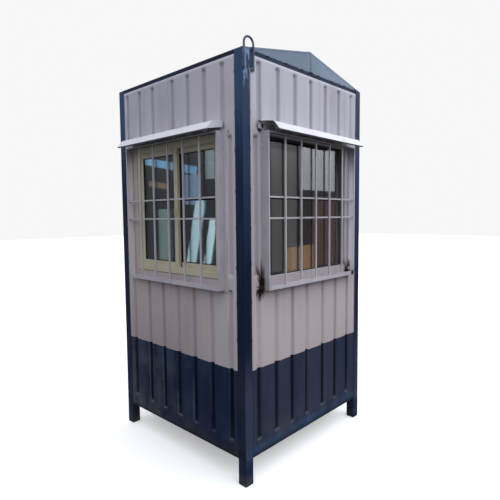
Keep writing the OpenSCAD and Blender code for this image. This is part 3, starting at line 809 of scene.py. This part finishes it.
def pressed_sheet(name, side, x0, x1, z0, z1, rows, stands_for=(), opening=None, still=False):
    """A wall sheet with soft pressed grooves; rows are (low end, high end, centres)."""
    mouth = GROOVE_MOUTH / 2 + BEND_EASE
    floor = GROOVE_FLOOR / 2 - BEND_EASE
    xs, zs = spread(x0, x1), spread(z0, z1)
    kept = {x0, x1}
    if opening:
        kept |= {opening[0], opening[1]}
        xs |= kept
        zs |= {opening[2], opening[3]}
    for low, high, centres in rows:
        for centre in centres:
            xs = {x for x in xs if abs(x - centre) > mouth + 0.004 or x in kept}
            for d in (*np.linspace(floor, mouth, 7), mouth + 0.005):
                xs |= {x for x in (centre - d, centre + d) if x0 < x < x1}
        ends = np.linspace(-BEND_EASE, GROOVE_END + BEND_EASE, 6)
        zs |= {z for d in ends for z in (low + d, high - d) if z0 < z < z1}
    xs, zs = np.array(sorted(xs)), np.array(sorted(zs))
    deep = np.zeros((len(zs), len(xs)))
    for low, high, centres in rows:
        along = ramp(-np.minimum(zs - low, high - zs), -GROOVE_END - BEND_EASE, BEND_EASE)
        for centre in centres:
            deep = np.maximum(deep, np.outer(along, ramp(np.abs(xs - centre), floor, mouth)))
    points = []
    for j, z in enumerate(zs):
        for i, x in enumerate(xs):
            hold = min(1.0, (BAY - abs(x)) / WAVE_FADE)
            swell = noise.noise((x * 3.1, side * 7.3, z * 1.5))
            swell += 0.5 * noise.noise((x * 7.0, side * 3.1, z * 4.0))
            y = SHEET_Y + GROOVE_DEPTH * deep[j, i] + (0 if still else WAVE * hold * swell)
            points.append((x, y, z))
    wide = len(xs)

    def open_here(i, j):
        x, z = (xs[i] + xs[i + 1]) / 2, (zs[j] + zs[j + 1]) / 2
        return opening and opening[0] < x < opening[1] and opening[2] < z < opening[3]

    faces = [
        (j * wide + i, j * wide + i + 1, (j + 1) * wide + i + 1, (j + 1) * wide + i)
        for j in range(len(zs) - 1) for i in range(wide - 1) if not open_here(i, j)
    ]
    used = sorted({i for face in faces for i in face})
    renumber = {old: new for new, old in enumerate(used)}
    sheet = on_wall(side)
    sheet.add([points[i] for i in used], [tuple(renumber[i] for i in face) for face in faces])
    piece = sheet.piece(name, WALL_PAINT, "wall_paint", stands_for)
    solid = piece.modifiers.new("sheet_thickness", "SOLIDIFY")
    solid.thickness = SHEET_T
    solid.offset = -1
    return piece


LOWER = (GROOVE_FOOT, GRILLE[0].z + 0.004)
UPPER = (HEAD_Z + EDGE_MARGIN, GROOVE_TOP)
BESIDE = (SILL_Z + EDGE_MARGIN, HEAD_Z - EDGE_MARGIN)
STRIP_GROOVE = (BAY + WINDOW_HALF + 0.045) / 2
# The grooves below a window and above it, which do not line up
FRONT_ROWS = groove_row(0.069, 0.159, 0, 0.025), groove_row(0.038, 0.150, 2, 0.062)
SIDE_ROWS = groove_row(0.060, 0.152, 3, 0.024), groove_row(0.074, 0.161, 6, 0.0)


def window_walls():
    """The three walls with a window, each one pressed sheet round its opening."""
    for side in WINDOW_SIDES:
        name = SIDE_NAMES[side]
        below, above = FRONT_ROWS if side == FRONT else SIDE_ROWS
        rows = [(*LOWER, below), (*UPPER, above), (*BESIDE, [-STRIP_GROOVE, STRIP_GROOVE])]
        pressed_sheet(f"{name}_wall_pressing", side, -BAY, BAY, BASE_Z, SHEET_TOP, rows,
                      [f"{name}_lower_sheet", f"{name}_upper_sheet", f"{name}_side_strips"],
                      opening=(-WINDOW_HALF, WINDOW_HALF, SILL_Z, HEAD_Z))


DOOR_PITCH = 0.155


def back_wall():
    """The sheets beside the door and over it."""
    groove = (BAY + DOOR_FRAME_HALF) / 2
    for sign, hand in ((-1, "left"), (1, "right")):
        low, high = sorted((sign * BAY, sign * DOOR_FRAME_HALF))
        pressed_sheet(f"back_{hand}_pressing", BACK, low, high, BASE_Z, SHEET_TOP,
                      [(GROOVE_FOOT, GROOVE_TOP, [sign * groove])], ["back_side_sheets"])
    centres = [i * DOOR_PITCH for i in range(-2, 3)]
    pressed_sheet("back_top_pressing", BACK, -DOOR_FRAME_HALF, DOOR_FRAME_HALF,
                  DOOR_FRAME_TOP + 0.0005, SHEET_TOP,
                  [(DOOR_FRAME_TOP + EDGE_MARGIN, GROOVE_TOP, centres)], ["back_top_sheet"])


def door():
    """The door leaf: a pressed skin on a tube frame with a middle rail."""
    half, low, high = DOOR[1].x, DOOR[0].z, DOOR[1].z
    middle, edge, lap = (low + high) / 2, 0.040, 0.003
    centres = [i * DOOR_PITCH for i in range(-1, 2)]
    pressed_sheet("door_leaf_skin", BACK, -half, half, low, high, [
        (low + edge + lap, middle - edge / 2 - lap, centres),
        (middle + edge / 2 + lap, high - edge - lap, centres),
    ], ["door_leaf"], still=True)
    tubes = on_wall(BACK)
    front = SHEET_Y + SHEET_T
    back = HALF_D - DOOR[0].y
    tubes.ring((-half, half), (low, high), edge, (front, back))
    tubes.block((-half + edge, front, middle - edge / 2), (half - edge, back, middle + edge / 2))
    tubes.piece("door_leaf_tubes", FRAME_PAINT, "frame_paint", ["door_leaf"], 0.003)
    boards = on_wall(BACK)
    for z0, z1 in ((low + edge, middle - edge / 2), (middle + edge / 2, high - edge)):
        boards.block((-half + edge, back - 0.007, z0), (half - edge, back - 0.002, z1))
    boards.piece("door_lining_boards", LAMINATE, "lining_board", ["door_leaf"], 0.0008, 1)


# ================================================================ finish on the frame's own parts
CARRIED = {
    ("corner_post_front_left", "corner_post_front_right", "corner_post_back_left",
     "corner_post_back_right"): (FRAME_PAINT, 0.0028, 3),
    ("base_rails", "top_rails", "floor_joists"): (FRAME_PAINT, 0.0025, 2),
    ("floor_board",): (FLOOR_PLY, 0.001, 1),
    ("ceiling_board",): (CEILING_WHITE, 0.001, 1),
    ("front_lining", "right_lining", "left_lining", "back_lining"): (LAMINATE, 0.0008, 1),
    ("door_frame",): (FRAME_PAINT, 0.0025, 2),
    ("door_hinges",): (FRAME_PAINT, 0.0006, 2),
    ("door_handle",): (BRIGHT_STEEL, 0.0, 0),
    ("front_window_frame", "front_left_sash", "front_right_sash"): (WINDOW_COAT, 0.0012, 2),
    ("front_window_glass",): (CLEAR_GLASS, 0.0, 0),
    ("side_window_glass",): (TINTED_GLASS, 0.0, 0),
    ("side_window_frames",): (GRILLE_PAINT, 0.0008, 1),
    ("front_grille", "right_grille", "left_grille"): (GRILLE_PAINT, 0.0012, 2),
    ("front_rain_shade", "right_rain_shade", "left_rain_shade",
     "back_rain_shade"): (SHADE_PAINT, 0.0006, 2),
    ("roof_sheet_front", "roof_sheet_back", "gable_plates"): (ROOF_PAINT, 0.0006, 1),
    ("lifting_loops",): (LOOP_PAINT, 0.0, 0),
}


def finish_carried_parts():
    """Paints the frame's own parts and eases their edges."""
    for names, (finish, width, segments) in CARRIED.items():
        for name in names:
            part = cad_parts[name]
            part.data.materials.clear()
            part.data.materials.append(finish)
            if width:
                weld = part.modifiers.new("joined_corners", "WELD")
                weld.merge_threshold = 0.00002
                ease_edges(part, width, segments)


# ================================================================ welds
def grille_welds():
    """Lumpy welds where bars meet the flanges and each other, and where the boxes meet the walls."""
    draw = random.Random(11)
    half, low, high = GRILLE[1].x, GRILLE[0].z, GRILLE[1].z
    out = -(GRILLE[0].y + HALF_D)
    for side in WINDOW_SIDES:
        bars = on_wall(side)
        y_bar = -out + 0.003 + BAR_S / 2
        for i in range(-2, 3):
            x = i * BAR_PITCH
            for z in (low + GRILLE_FOOT_FLANGE - 0.002, high - GRILLE_EDGE_FLANGE + 0.002):
                for sign in (-1, 1):
                    bars.blob((x + sign * BAR_S * 0.55, y_bar - 0.003, z), (0.0035, 0.004, 0.005), draw)
            for z in CROSS_BARS:
                for sign in (-1, 1):
                    bars.blob((x + sign * BAR_S * 0.5, y_bar + BAR_S * 0.5, z - BAR_S / 2), [0.003] * 3, draw)
        bars.piece(f"{SIDE_NAMES[side]}_grille_bar_welds", GRILLE_PAINT, "grille_paint")
        edge = on_wall(side)
        for z in CROSS_BARS:
            for sign in (-1, 1):
                edge.blob((sign * (half - 0.006), -out + 0.018, z), (0.005, 0.006, 0.007), draw)
        y = SHEET_Y - 0.001
        for sign in (-1, 1):
            x = sign * (half + 0.001)
            for z in (low + 0.010, low + 0.30, (low + high) / 2, high - 0.08):
                edge.bead((x, y, z - 0.014), (x, y, z + 0.014), 0.0032, draw)
        for x in (-0.30, 0.05, 0.33):
            edge.bead((x - 0.015, y, low - 0.001), (x + 0.015, y, low - 0.001), 0.003, draw)
        edge.piece(f"{SIDE_NAMES[side]}_grille_wall_welds", GRILLE_PAINT, "grille_paint")


def corner_burns():
    """Heavy burnt welds at the lower corners of the side grilles and a stub by the front one."""
    draw = random.Random(5)
    half, low = GRILLE[1].x, GRILLE[0].z
    for side in (RIGHT, LEFT):
        lumps = on_wall(side)
        for _ in range(7):
            x = -half - 0.003 - 0.013 * draw.random()
            lumps.blob((x, SHEET_Y - 0.003, low + 0.002 + 0.020 * draw.random()), (0.006, 0.005, 0.007), draw)
        for _ in range(5):
            x = half - 0.018 - 0.016 * draw.random()
            lumps.blob((x, -0.012, low + 0.006 + 0.005 * draw.random()), (0.008, 0.008, 0.004), draw)
        lumps.piece(f"{SIDE_NAMES[side]}_grille_corner_welds", BURNT_WELD, "grille_paint")
    stub = on_wall(FRONT)
    stub.block((half + 0.006, -0.006, low - 0.012), (half + 0.020, SHEET_Y, low + 0.002))
    stub.blob((half + 0.012, SHEET_Y - 0.004, low - 0.006), (0.009, 0.004, 0.008), draw)
    stub.piece("front_grille_weld_stub", GRILLE_PAINT, "grille_paint", ease=0.001)


def wall_tacks():
    """Short tack welds that hold the sheets to the posts."""
    draw = random.Random(3)
    for side in range(4):
        tacks = on_wall(side)
        y = SHEET_Y - 0.0004
        for x in (-BAY, BAY):
            z = BASE_Z + 0.06
            while z < SHEET_TOP - 0.05:
                tacks.bead((x, y, z), (x, y, z + 0.022), 0.0018, draw)
                z += 0.19 + 0.03 * draw.random()
        tacks.piece(f"{SIDE_NAMES[side]}_sheet_tacks", FRAME_PAINT, "frame_paint")


def loop_welds():
    """Fillets beside the lifting loops' legs, and the blob of weld at one leg's foot."""
    draw = random.Random(8)
    near_leg = -HALF_D + 0.010
    far_leg = near_leg + LOOP_SPAN
    inner = -HALF_D + POST_S
    for turn, name in ((0, "front_right"), (math.pi, "back_left")):
        place = Matrix.Rotation(turn, 4, "Z")
        welds = Shape(place)
        x = HALF_W + 0.0015
        for leg in (near_leg, far_leg):
            for y in (leg - 0.0055, leg + 0.0055):
                welds.bead((x, y, LOOP_FOOT + 0.004), (x, y, POST_TOP - 0.010), 0.0035, draw)
        for _ in range(5):
            y = far_leg - 0.004 + 0.012 * draw.random() - 0.012
            z = LOOP_FOOT + 0.004 + 0.014 * draw.random()
            welds.blob((HALF_W + 0.004, y, z), (0.006, 0.007, 0.008), draw)
        welds.blob((HALF_W + 0.003, near_leg, LOOP_FOOT - 0.002), (0.005, 0.006, 0.006), draw)
        welds.piece(f"loop_welds_{name}", LOOP_PAINT, "loop_steel")
        outline = [(inner - 0.002, LOOP_FOOT + 0.022), (inner - 0.002, POST_TOP - 0.006)]
        for k in range(9):
            outline.append((far_leg - 0.003 * draw.random(), POST_TOP - 0.008 - 0.010 * k))
        outline.append((inner + 0.006, LOOP_FOOT + 0.016))
        outwards = Matrix.Translation((HALF_W + 0.003, 0, 0)) @ Matrix.Rotation(math.pi / 2, 4, "Z")
        fill = Shape(place @ outwards)
        fill.plate(outline, -0.0005, 0.006)
        fill.piece(f"loop_weld_fill_{name}", FRAME_PAINT, "frame_paint", ease=0.0012)


# ================================================================ roof
def gable_trim():
    """The rake folds, the centre lap of the gable sheets and the weld spots along their foot."""
    draw = random.Random(21)
    eave = HALF_D - 0.002
    rise = RIDGE_Z - POST_TOP
    for side, name in ((RIGHT, "right"), (LEFT, "left")):
        trim = on_wall(side)
        fold = 0.010
        y0, y1 = 0.0008, 0.002
        for sign in (-1, 1):
            trim.plate([(sign * eave, POST_TOP + 0.001), (0, RIDGE_Z - 0.001), (0, RIDGE_Z - fold),
                        (sign * (eave - fold * eave / rise), POST_TOP + 0.001)][::sign], y0, y1)
        trim.piece(f"{name}_rake_fold", ROOF_PAINT, "roof_paint", ease=0.0004, segments=1)
        lap = on_wall(side)
        lap.plate([(0.0, POST_TOP + 0.004), (0.014, POST_TOP + 0.004),
                   (0.014, RIDGE_Z - fold - 0.003), (0.0, RIDGE_Z - fold - 0.001)], 0.0006, 0.002)
        lap.piece(f"{name}_gable_lap", ROOF_PAINT, "roof_paint", ease=0.0004, segments=1)
        spots = on_wall(side)
        spots.bead_row(-eave + 0.07, eave - 0.05, 0.001, POST_TOP + 0.001, 0.020, 0.0026, draw, 0.13, 0.05)
        for x in (-0.006, 0.010, 0.022):
            spots.blob((x, 0.0005, POST_TOP + 0.004), (0.005, 0.003, 0.005), draw)
        spots.piece(f"{name}_gable_welds", FRAME_PAINT, "roof_paint")


def ridge_seam():
    """The roof's ridge: a folded cap welded along both slopes."""
    draw = random.Random(31)
    slope = (RIDGE_Z - POST_TOP) / HALF_D
    reach = 0.045
    cap = Shape()
    half = HALF_W - 0.003
    edge = RIDGE_Z - reach * slope
    cap.section([(-reach, edge + 0.0012), (0, RIDGE_Z + 0.0022), (reach, edge + 0.0012),
                 (reach, edge), (0, RIDGE_Z + 0.0004), (-reach, edge)], -half, half)
    cap.piece("ridge_cap", ROOF_PAINT, "roof_paint", ease=0.0004, segments=1)
    seam = Shape()
    for y in (-reach - 0.001, reach + 0.001):
        z = RIDGE_Z - abs(y) * slope + 0.0006
        seam.bead_row(-half + 0.05, half - 0.05, y, z, 0.024, 0.0022, draw, 0.12, 0.03)
    seam.piece("ridge_cap_tacks", ROOF_PAINT, "roof_paint")


# ================================================================ rain shades
def shade_trim():
    """Hems under the shades' lips and the tacks along their wall flanges."""
    draw = random.Random(41)
    half = SHADE[1].x
    y, z = SHADE[0].y + HALF_D + 0.002, SHADE_LIP_Z
    outline = [(y, z - 0.0005), (y + 0.011, z - 0.004), (y + 0.011, z - 0.0055), (y, z - 0.0022)]
    for side in WINDOW_SIDES:
        name = SIDE_NAMES[side]
        hem = on_wall(side)
        hem.section(outline, -half + 0.003, half - 0.003)
        hem.piece(f"{name}_shade_hem", SHADE_PAINT, "grille_paint", ease=0.0003, segments=1)
        tacks = on_wall(side)
        tacks.bead_row(-half + 0.03, half - 0.05, SHEET_Y - 0.0005, SHADE_TOP + 0.0005,
                       0.018, 0.002, draw, 0.15, 0.03)
        tacks.piece(f"{name}_shade_tacks", WALL_PAINT, "wall_paint")


def bent_tabs():
    """The small bent tabs on the side walls beside the shades."""
    draw = random.Random(43)
    for side in (RIGHT, LEFT):
        tab = on_wall(side)
        x0, x1 = -0.490, -0.458
        z0, z1 = HEAD_Z + 0.008, HEAD_Z + 0.066
        tab.plate([(x0, z1), (x0 + 0.004, z0 + 0.012), (x0 + 0.012, z0), (x1, z0 + 0.002), (x1, z1)],
                  -0.001, 0.001)
        tab.section([(-0.001, z1 - 0.001), (-0.020, z1 - 0.006), (-0.020, z1 - 0.0045), (0.001, z1 + 0.001)],
                    x0, x1)
        tab.blob((x0 + 0.012, -0.001, z0), (0.010, 0.004, 0.006), draw)
        tab.piece(f"{SIDE_NAMES[side]}_bent_tab", GRILLE_PAINT, "grille_paint", ease=0.0004, segments=1)


# ================================================================ sliding window
def window_details():
    """Gaskets round the panes, the brush strips, the tracks, the pull and the sealant."""
    left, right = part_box("front_left_sash"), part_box("front_right_sash")
    gaskets = on_wall(FRONT)
    for low, high in (left, right):
        y0 = low.y + HALF_D
        y1 = high.y + HALF_D
        middle = (y0 + y1) / 2
        for y_in, y_out in ((middle - 0.0026, y0 + 0.0010), (middle + 0.0026, y1 - 0.0010)):
            gaskets.ring((low.x + SASH_FACE, high.x - SASH_FACE), (low.z + SASH_FACE, high.z - SASH_FACE),
                         0.0035, sorted((y_in, y_out)))
    gaskets.piece("sash_gaskets", RUBBER, "window_frame", ease=0.0006, segments=1)

    brushes = on_wall(FRONT)
    y = right[0].y + HALF_D
    x = left[1].x
    brushes.block((x - 0.001, y - 0.0012, right[0].z + 0.002), (x + 0.007, y + 0.0002, right[1].z - 0.002))
    brushes.block((x - 0.016, y - 0.0006, left[0].z), (x - 0.010, y + 0.0002, left[1].z))
    brushes.piece("meeting_stile_brushes", RUBBER, "window_frame", ease=0.0003, segments=1)

    tracks = on_wall(FRONT)
    x_in, z_in, z_out = WINDOW[1].x - FRAME_FACE, WINDOW[0].z + FRAME_FACE, WINDOW[1].z - FRAME_FACE
    for y in (left[1].y + HALF_D - 0.001, right[1].y + HALF_D - 0.002, left[0].y + HALF_D - 0.006):
        tracks.block((-x_in, y, z_in - 0.0002), (x_in, y + 0.0018, z_in + 0.0068))
        tracks.block((-x_in, y, z_out - 0.0068), (x_in, y + 0.0018, z_out + 0.0002))
    tracks.piece("window_tracks", WINDOW_COAT, "window_frame", ease=0.0004, segments=1)

    lip = on_wall(FRONT)
    half, past = WINDOW[1].x + 0.006, 0.006
    lip.ring((-half, half), (WINDOW[0].z - past, WINDOW[1].z + past), 0.016,
             (SHEET_Y - 0.004, SHEET_Y - 0.0006), upright=False)
    lip.piece("window_frame_lip", WINDOW_COAT, "window_frame", ease=0.0006)

    sealant = on_wall(FRONT)
    draw = random.Random(51)
    edge = WINDOW[1].x + 0.0068
    low, high = WINDOW[0].z - 0.0068, WINDOW[1].z + 0.0068
    corners = [(-edge, low), (edge, low), (edge, high), (-edge, high)]
    for (ax, az), (bx, bz) in zip(corners, corners[1:] + corners[:1]):
        sealant.bead((ax, SHEET_Y - 0.0008, az), (bx, SHEET_Y - 0.0008, bz), 0.0019, draw, 0.012)
    sealant.piece("window_sealant", RUBBER, "window_frame")

    pull = on_wall(FRONT)
    x, y, z = left[1].x - SASH_FACE / 2, left[0].y + HALF_D, 1.545
    pull.block((x - 0.010, y - 0.003, z - 0.032), (x + 0.010, y, z + 0.032))
    pull.block((x - 0.006, y - 0.012, z - 0.022), (x + 0.001, y - 0.003, z + 0.022))
    pull.piece("sash_pull", WINDOW_COAT, "window_frame", ease=0.0012)


def pane_seals():
    """Dark putty round the fixed panes of the side windows."""
    for side in (RIGHT, LEFT):
        seal = on_wall(side)
        half = WINDOW[1].x - 0.003
        seal.ring((-half, half), (WINDOW[0].z + 0.003, WINDOW[1].z - 0.003), 0.006, (0.0285, 0.030))
        seal.piece(f"{SIDE_NAMES[side]}_pane_putty", RUBBER, "window_frame", ease=0.0005, segments=1)


# ================================================================ inside
def inside_trim():
    """Cover strips over the lining's corners, round the ceiling and round the window openings."""
    inner = HALF_W - LINING_BACK
    strips = Shape()
    w, t = 0.028, 0.004
    for sx in (-1, 1):
        for sy in (-1, 1):
            for (x0, x1), (y0, y1) in (((0, w), (0, t)), ((0, t), (t, w))):
                a, b = sorted((sx * (inner - x0), sx * (inner - x1)))
                c, d = sorted((sy * (inner - y0), sy * (inner - y1)))
                strips.block((a, c, FLOOR_TOP), (b, d, CEILING_Z))
    for side in range(4):
        strips.place = wall_place(side)
        for z0, z1 in ((CEILING_Z - w, CEILING_Z), (FLOOR_TOP, FLOOR_TOP + 0.06)):
            if side == BACK and z0 < 1:
                continue
            strips.block((-inner + w, LINING_BACK, z0), (inner - w, LINING_BACK + t, z1))
    strips.piece("lining_cover_strips", LAMINATE, "lining_board", ease=0.0008)
    for side in WINDOW_SIDES:
        architrave = on_wall(side)
        architrave.ring((-WINDOW_HALF - w, WINDOW_HALF + w), (SILL_Z - w, HEAD_Z + w), w,
                        (LINING_BACK, LINING_BACK + t), upright=False)
        architrave.piece(f"{SIDE_NAMES[side]}_window_architrave", LAMINATE, "lining_board", ease=0.0008)


# ================================================================ door fittings
def door_fittings():
    """Screws in the hinges, a lock plate with its keyhole, and feet on the pull handle."""
    hinge_low, hinge_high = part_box("door_hinges")
    screws = on_wall(BACK)
    x_middle = -(hinge_low.x + hinge_high.x) / 2
    low, high = hinge_low.z + 0.045, hinge_high.z - 0.045
    for z in (low, (low + high) / 2, high):
        for dz in (-0.030, 0, 0.030):
            for sign in (-1, 1):
                screws.screw(x_middle + sign * 0.018, 0.0, z + dz, 0.0042, 0.0022)
    screws.piece("hinge_screws", ZINC, "handle_steel")

    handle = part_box("door_handle")
    x = -(handle[0].x + handle[1].x) / 2
    plate = on_wall(BACK)
    z = handle[0].z - 0.075
    outline = []
    for k in range(24):
        turn = 2 * math.pi * k / 24
        shift = 0.018 if math.sin(turn) > 0 else -0.018
        outline.append((x + 0.014 * math.cos(turn), z + 0.014 * math.sin(turn) + shift))
    plate.plate(outline, SHEET_Y - 0.003, SHEET_Y)
    plate.tube([(x, SHEET_Y - 0.0028, z), (x, SHEET_Y - 0.0060, z)], 0.0085, 16)
    plate.piece("lock_plate", BRIGHT_STEEL, "handle_steel", ease=0.0006)
    keyhole = on_wall(BACK)
    keyhole.block((x - 0.001, SHEET_Y - 0.0063, z - 0.0045), (x + 0.001, SHEET_Y - 0.0058, z + 0.0045))
    keyhole.tube([(x, SHEET_Y - 0.0058, z), (x, SHEET_Y - 0.0063, z)], 0.0022, 12)
    keyhole.piece("keyhole", RUBBER, "handle_steel")
    feet = on_wall(BACK)
    for zf in (handle[0].z + 0.007, handle[1].z - 0.007):
        feet.tube([(x, SHEET_Y, zf), (x, SHEET_Y - 0.003, zf)], [0.014, 0.0125], 20)
    feet.piece("handle_feet", BRIGHT_STEEL, "handle_steel", ease=0.0006)
    gasket = on_wall(BACK)
    half = DOOR[1].x + 0.0035
    y0, y1 = SHEET_Y + 0.012, SHEET_Y + 0.020
    for sign in (-1, 1):
        a, b = sorted((sign * half, sign * (half - 0.003)))
        gasket.block((a, y0, DOOR[0].z), (b, y1, DOOR[1].z))
    gasket.block((-half, y0, DOOR[1].z + 0.0005), (half, y1, DOOR[1].z + 0.0035))
    gasket.piece("door_seal", RUBBER, "frame_paint", ease=0.0005, segments=1)


# ================================================================ studio
BRIGHT_SIDE = (0.87, 0.25, 0.42)
SKY_DIM = (0.52, 0.52, 0.54, 1)
SKY_BRIGHT = (1.56, 1.64, 1.74, 1)
SURROUNDINGS = (0.17, 0.18, 0.19, 1)
BACKDROP = (0.93, 0.93, 0.94, 1)
KEY_PLACE, KEY_FACING, KEY_SIZE = (4.5, 0.8, 4.6), (-4.5, -0.8, -3.0), (3.5, 3.5)
KEY_POWER, KEY_COLOUR = 52, (0.93, 0.96, 1.0)
FLOOR_REACH, FLOOR_GLOW = 30, 0.30
EYE_PLACE, EYE_TURN = (2.250, -2.294, 1.520), (43.25, 4.15, -0.53)
LENS, SENSOR, SHIFT = 31.59, 36, (-0.0028, -0.0048)
# Soft panels that the panes mirror: name, middle, the way it faces, lean, size, radiance
PANE_PANELS = (
    ("low_leaning_panel", (-3.40, -3.5, 1.24), (0, 1, 0), -15, (0.24, 1.14), (1.5, 2.1, 2.4)),
    ("low_leaning_slat", (-3.05, -3.5, 1.06), (0, 1, 0), -13, (0.17, 0.84), (2.0, 2.6, 2.8)),
    ("long_blue_panel", (-4.06, -3.5, 2.40), (0, 1, 0), -11, (1.46, 0.13), (0.5, 1.1, 1.8)),
    ("short_blue_panel", (-3.48, -3.5, 1.96), (0, 1, 0), -4, (0.40, 0.50), (0.55, 0.8, 1.2)),
    ("pale_corner_panel", (-3.02, -3.5, 2.42), (0, 1, 0), 0, (0.24, 0.62), (0.75, 0.85, 0.95)),
    ("low_green_panel", (-4.20, -3.5, 1.20), (0, 1, 0), 0, (0.36, 0.90), (0.42, 0.62, 0.56)),
    ("brown_board_panel", (-4.36, -3.5, 2.08), (0, 1, 0), -9, (0.60, 0.10), (0.60, 0.36, 0.20)),
    ("grey_side_panel", (4.0, 5.22, 2.56), (-1, 0, 0), 0, (1.46, 1.10), (1.40, 1.46, 1.60)),
    ("dull_side_panel", (4.0, 4.03, 1.60), (-1, 0, 0), 0, (0.76, 2.20), (0.34, 0.34, 0.33)),
    ("warm_low_panel", (4.0, 4.50, 0.68), (-1, 0, 0), 2, (0.86, 0.50), (1.0, 0.60, 0.26)),
    ("brown_side_panel", (4.0, 5.42, 1.20), (-1, 0, 0), 0, (1.05, 1.40), (0.26, 0.10, 0.08)),
)


def studio():
    """The sky, the soft panels and the pale floor the booth stands on."""
    scene = bpy.context.scene
    world = bpy.data.worlds.new("studio_sky")
    scene.world = world
    world.use_nodes = True
    sky = Nodes(world.node_tree, "Generated")
    lean = sky.node("VectorMath", {"operation": "DOT_PRODUCT"}, {0: sky.place, 1: BRIGHT_SIDE}, out="Value")
    glow = sky.blend(lean.rise(-1.0, 1.0), SKY_DIM, SKY_BRIGHT)
    glow = sky.blend(sky.z.rise(0.02, 0.42), SURROUNDINGS, glow)
    seen = sky.node("LightPath", out="Is Camera Ray") * direct(sky)
    background = sky.tree.nodes["Background"]
    sky.feed(background.inputs["Color"], sky.blend(seen, glow, BACKDROP))
    background.inputs["Strength"].default_value = 1.0

    def panel(name, place, facing, size, power, colour, lean=0.0):
        light = bpy.data.lights.new(name, "AREA")
        light.shape = "RECTANGLE"
        light.size, light.size_y = size
        light.energy = power
        light.color = colour
        lamp = bpy.data.objects.new(name, light)
        scene.collection.objects.link(lamp)
        lamp.visible_camera = False
        turn = Vector(facing).to_track_quat("-Z", "Y").to_matrix().to_4x4()
        lamp.matrix_world = Matrix.Translation(place) @ turn @ Matrix.Rotation(math.radians(lean), 4, "Z")

    panel("sky_side_key", KEY_PLACE, KEY_FACING, KEY_SIZE, KEY_POWER, KEY_COLOUR)
    for name, place, facing, lean, size, radiance in PANE_PANELS:
        most = max(radiance)
        power = most * math.pi * size[0] * size[1]
        panel(name, place, facing, size, power, [part / most for part in radiance], lean)

    far = FLOOR_REACH
    mesh = bpy.data.meshes.new("studio_floor")
    mesh.from_pydata([(-far, -far, 0), (far, -far, 0), (far, far, 0), (-far, far, 0)], [], [(0, 1, 2, 3)])
    ground = bpy.data.objects.new("studio_floor", mesh)
    scene.collection.objects.link(ground)
    ground.visible_diffuse = False
    ground.visible_glossy = False
    pale = Finish("pale_floor", Roughness=0.9, Specular_IOR_Level=0.0)
    cloud = pale.grain(0.6)
    tone = pale.blend(cloud, (0.88, 0.88, 0.89, 1), (0.92, 0.92, 0.92, 1))
    unshaded = direct(pale)
    pale.give(Base_Color=pale.blend(unshaded, (0.05, 0.05, 0.05, 1), tone),
              Emission_Color=pale.blend(unshaded, (0, 0, 0, 1), (1, 1, 1, 1)), Emission_Strength=FLOOR_GLOW)
    mesh.materials.append(pale.material)


def direct(nodes):
    """1 for what is seen straight on and 0 for what is seen through a pane."""
    return nodes.node("LightPath", out="Transparent Depth").rise(1.0, 0.0)


def camera():
    """A level eye at the front right corner, turned a little down."""
    yaw, pitch, roll = (math.radians(angle) for angle in EYE_TURN)
    ahead = Vector((-math.sin(yaw) * math.cos(pitch), math.cos(yaw) * math.cos(pitch), -math.sin(pitch)))
    level = Vector((math.cos(yaw), math.sin(yaw), 0))
    above = level.cross(ahead)
    right = level * math.cos(roll) + above * math.sin(roll)
    up = above * math.cos(roll) - level * math.sin(roll)
    data = bpy.data.cameras.new("booth_camera")
    data.lens, data.sensor_width = LENS, SENSOR
    data.shift_x, data.shift_y = SHIFT
    eye = bpy.data.objects.new("booth_camera", data)
    bpy.context.scene.collection.objects.link(eye)
    turn = Matrix((right, up, -ahead)).transposed()
    eye.matrix_world = Matrix.Translation(EYE_PLACE) @ turn.to_4x4()
    bpy.context.scene.camera = eye


for make in (camera, studio, finish_carried_parts, window_walls, back_wall, door, grille_welds,
             corner_burns, wall_tacks, loop_welds, gable_trim, ridge_seam, shade_trim, bent_tabs,
             window_details, pane_seals, inside_trim, door_fittings):
    make()
bpy.context.scene.view_settings.view_transform = "Standard"
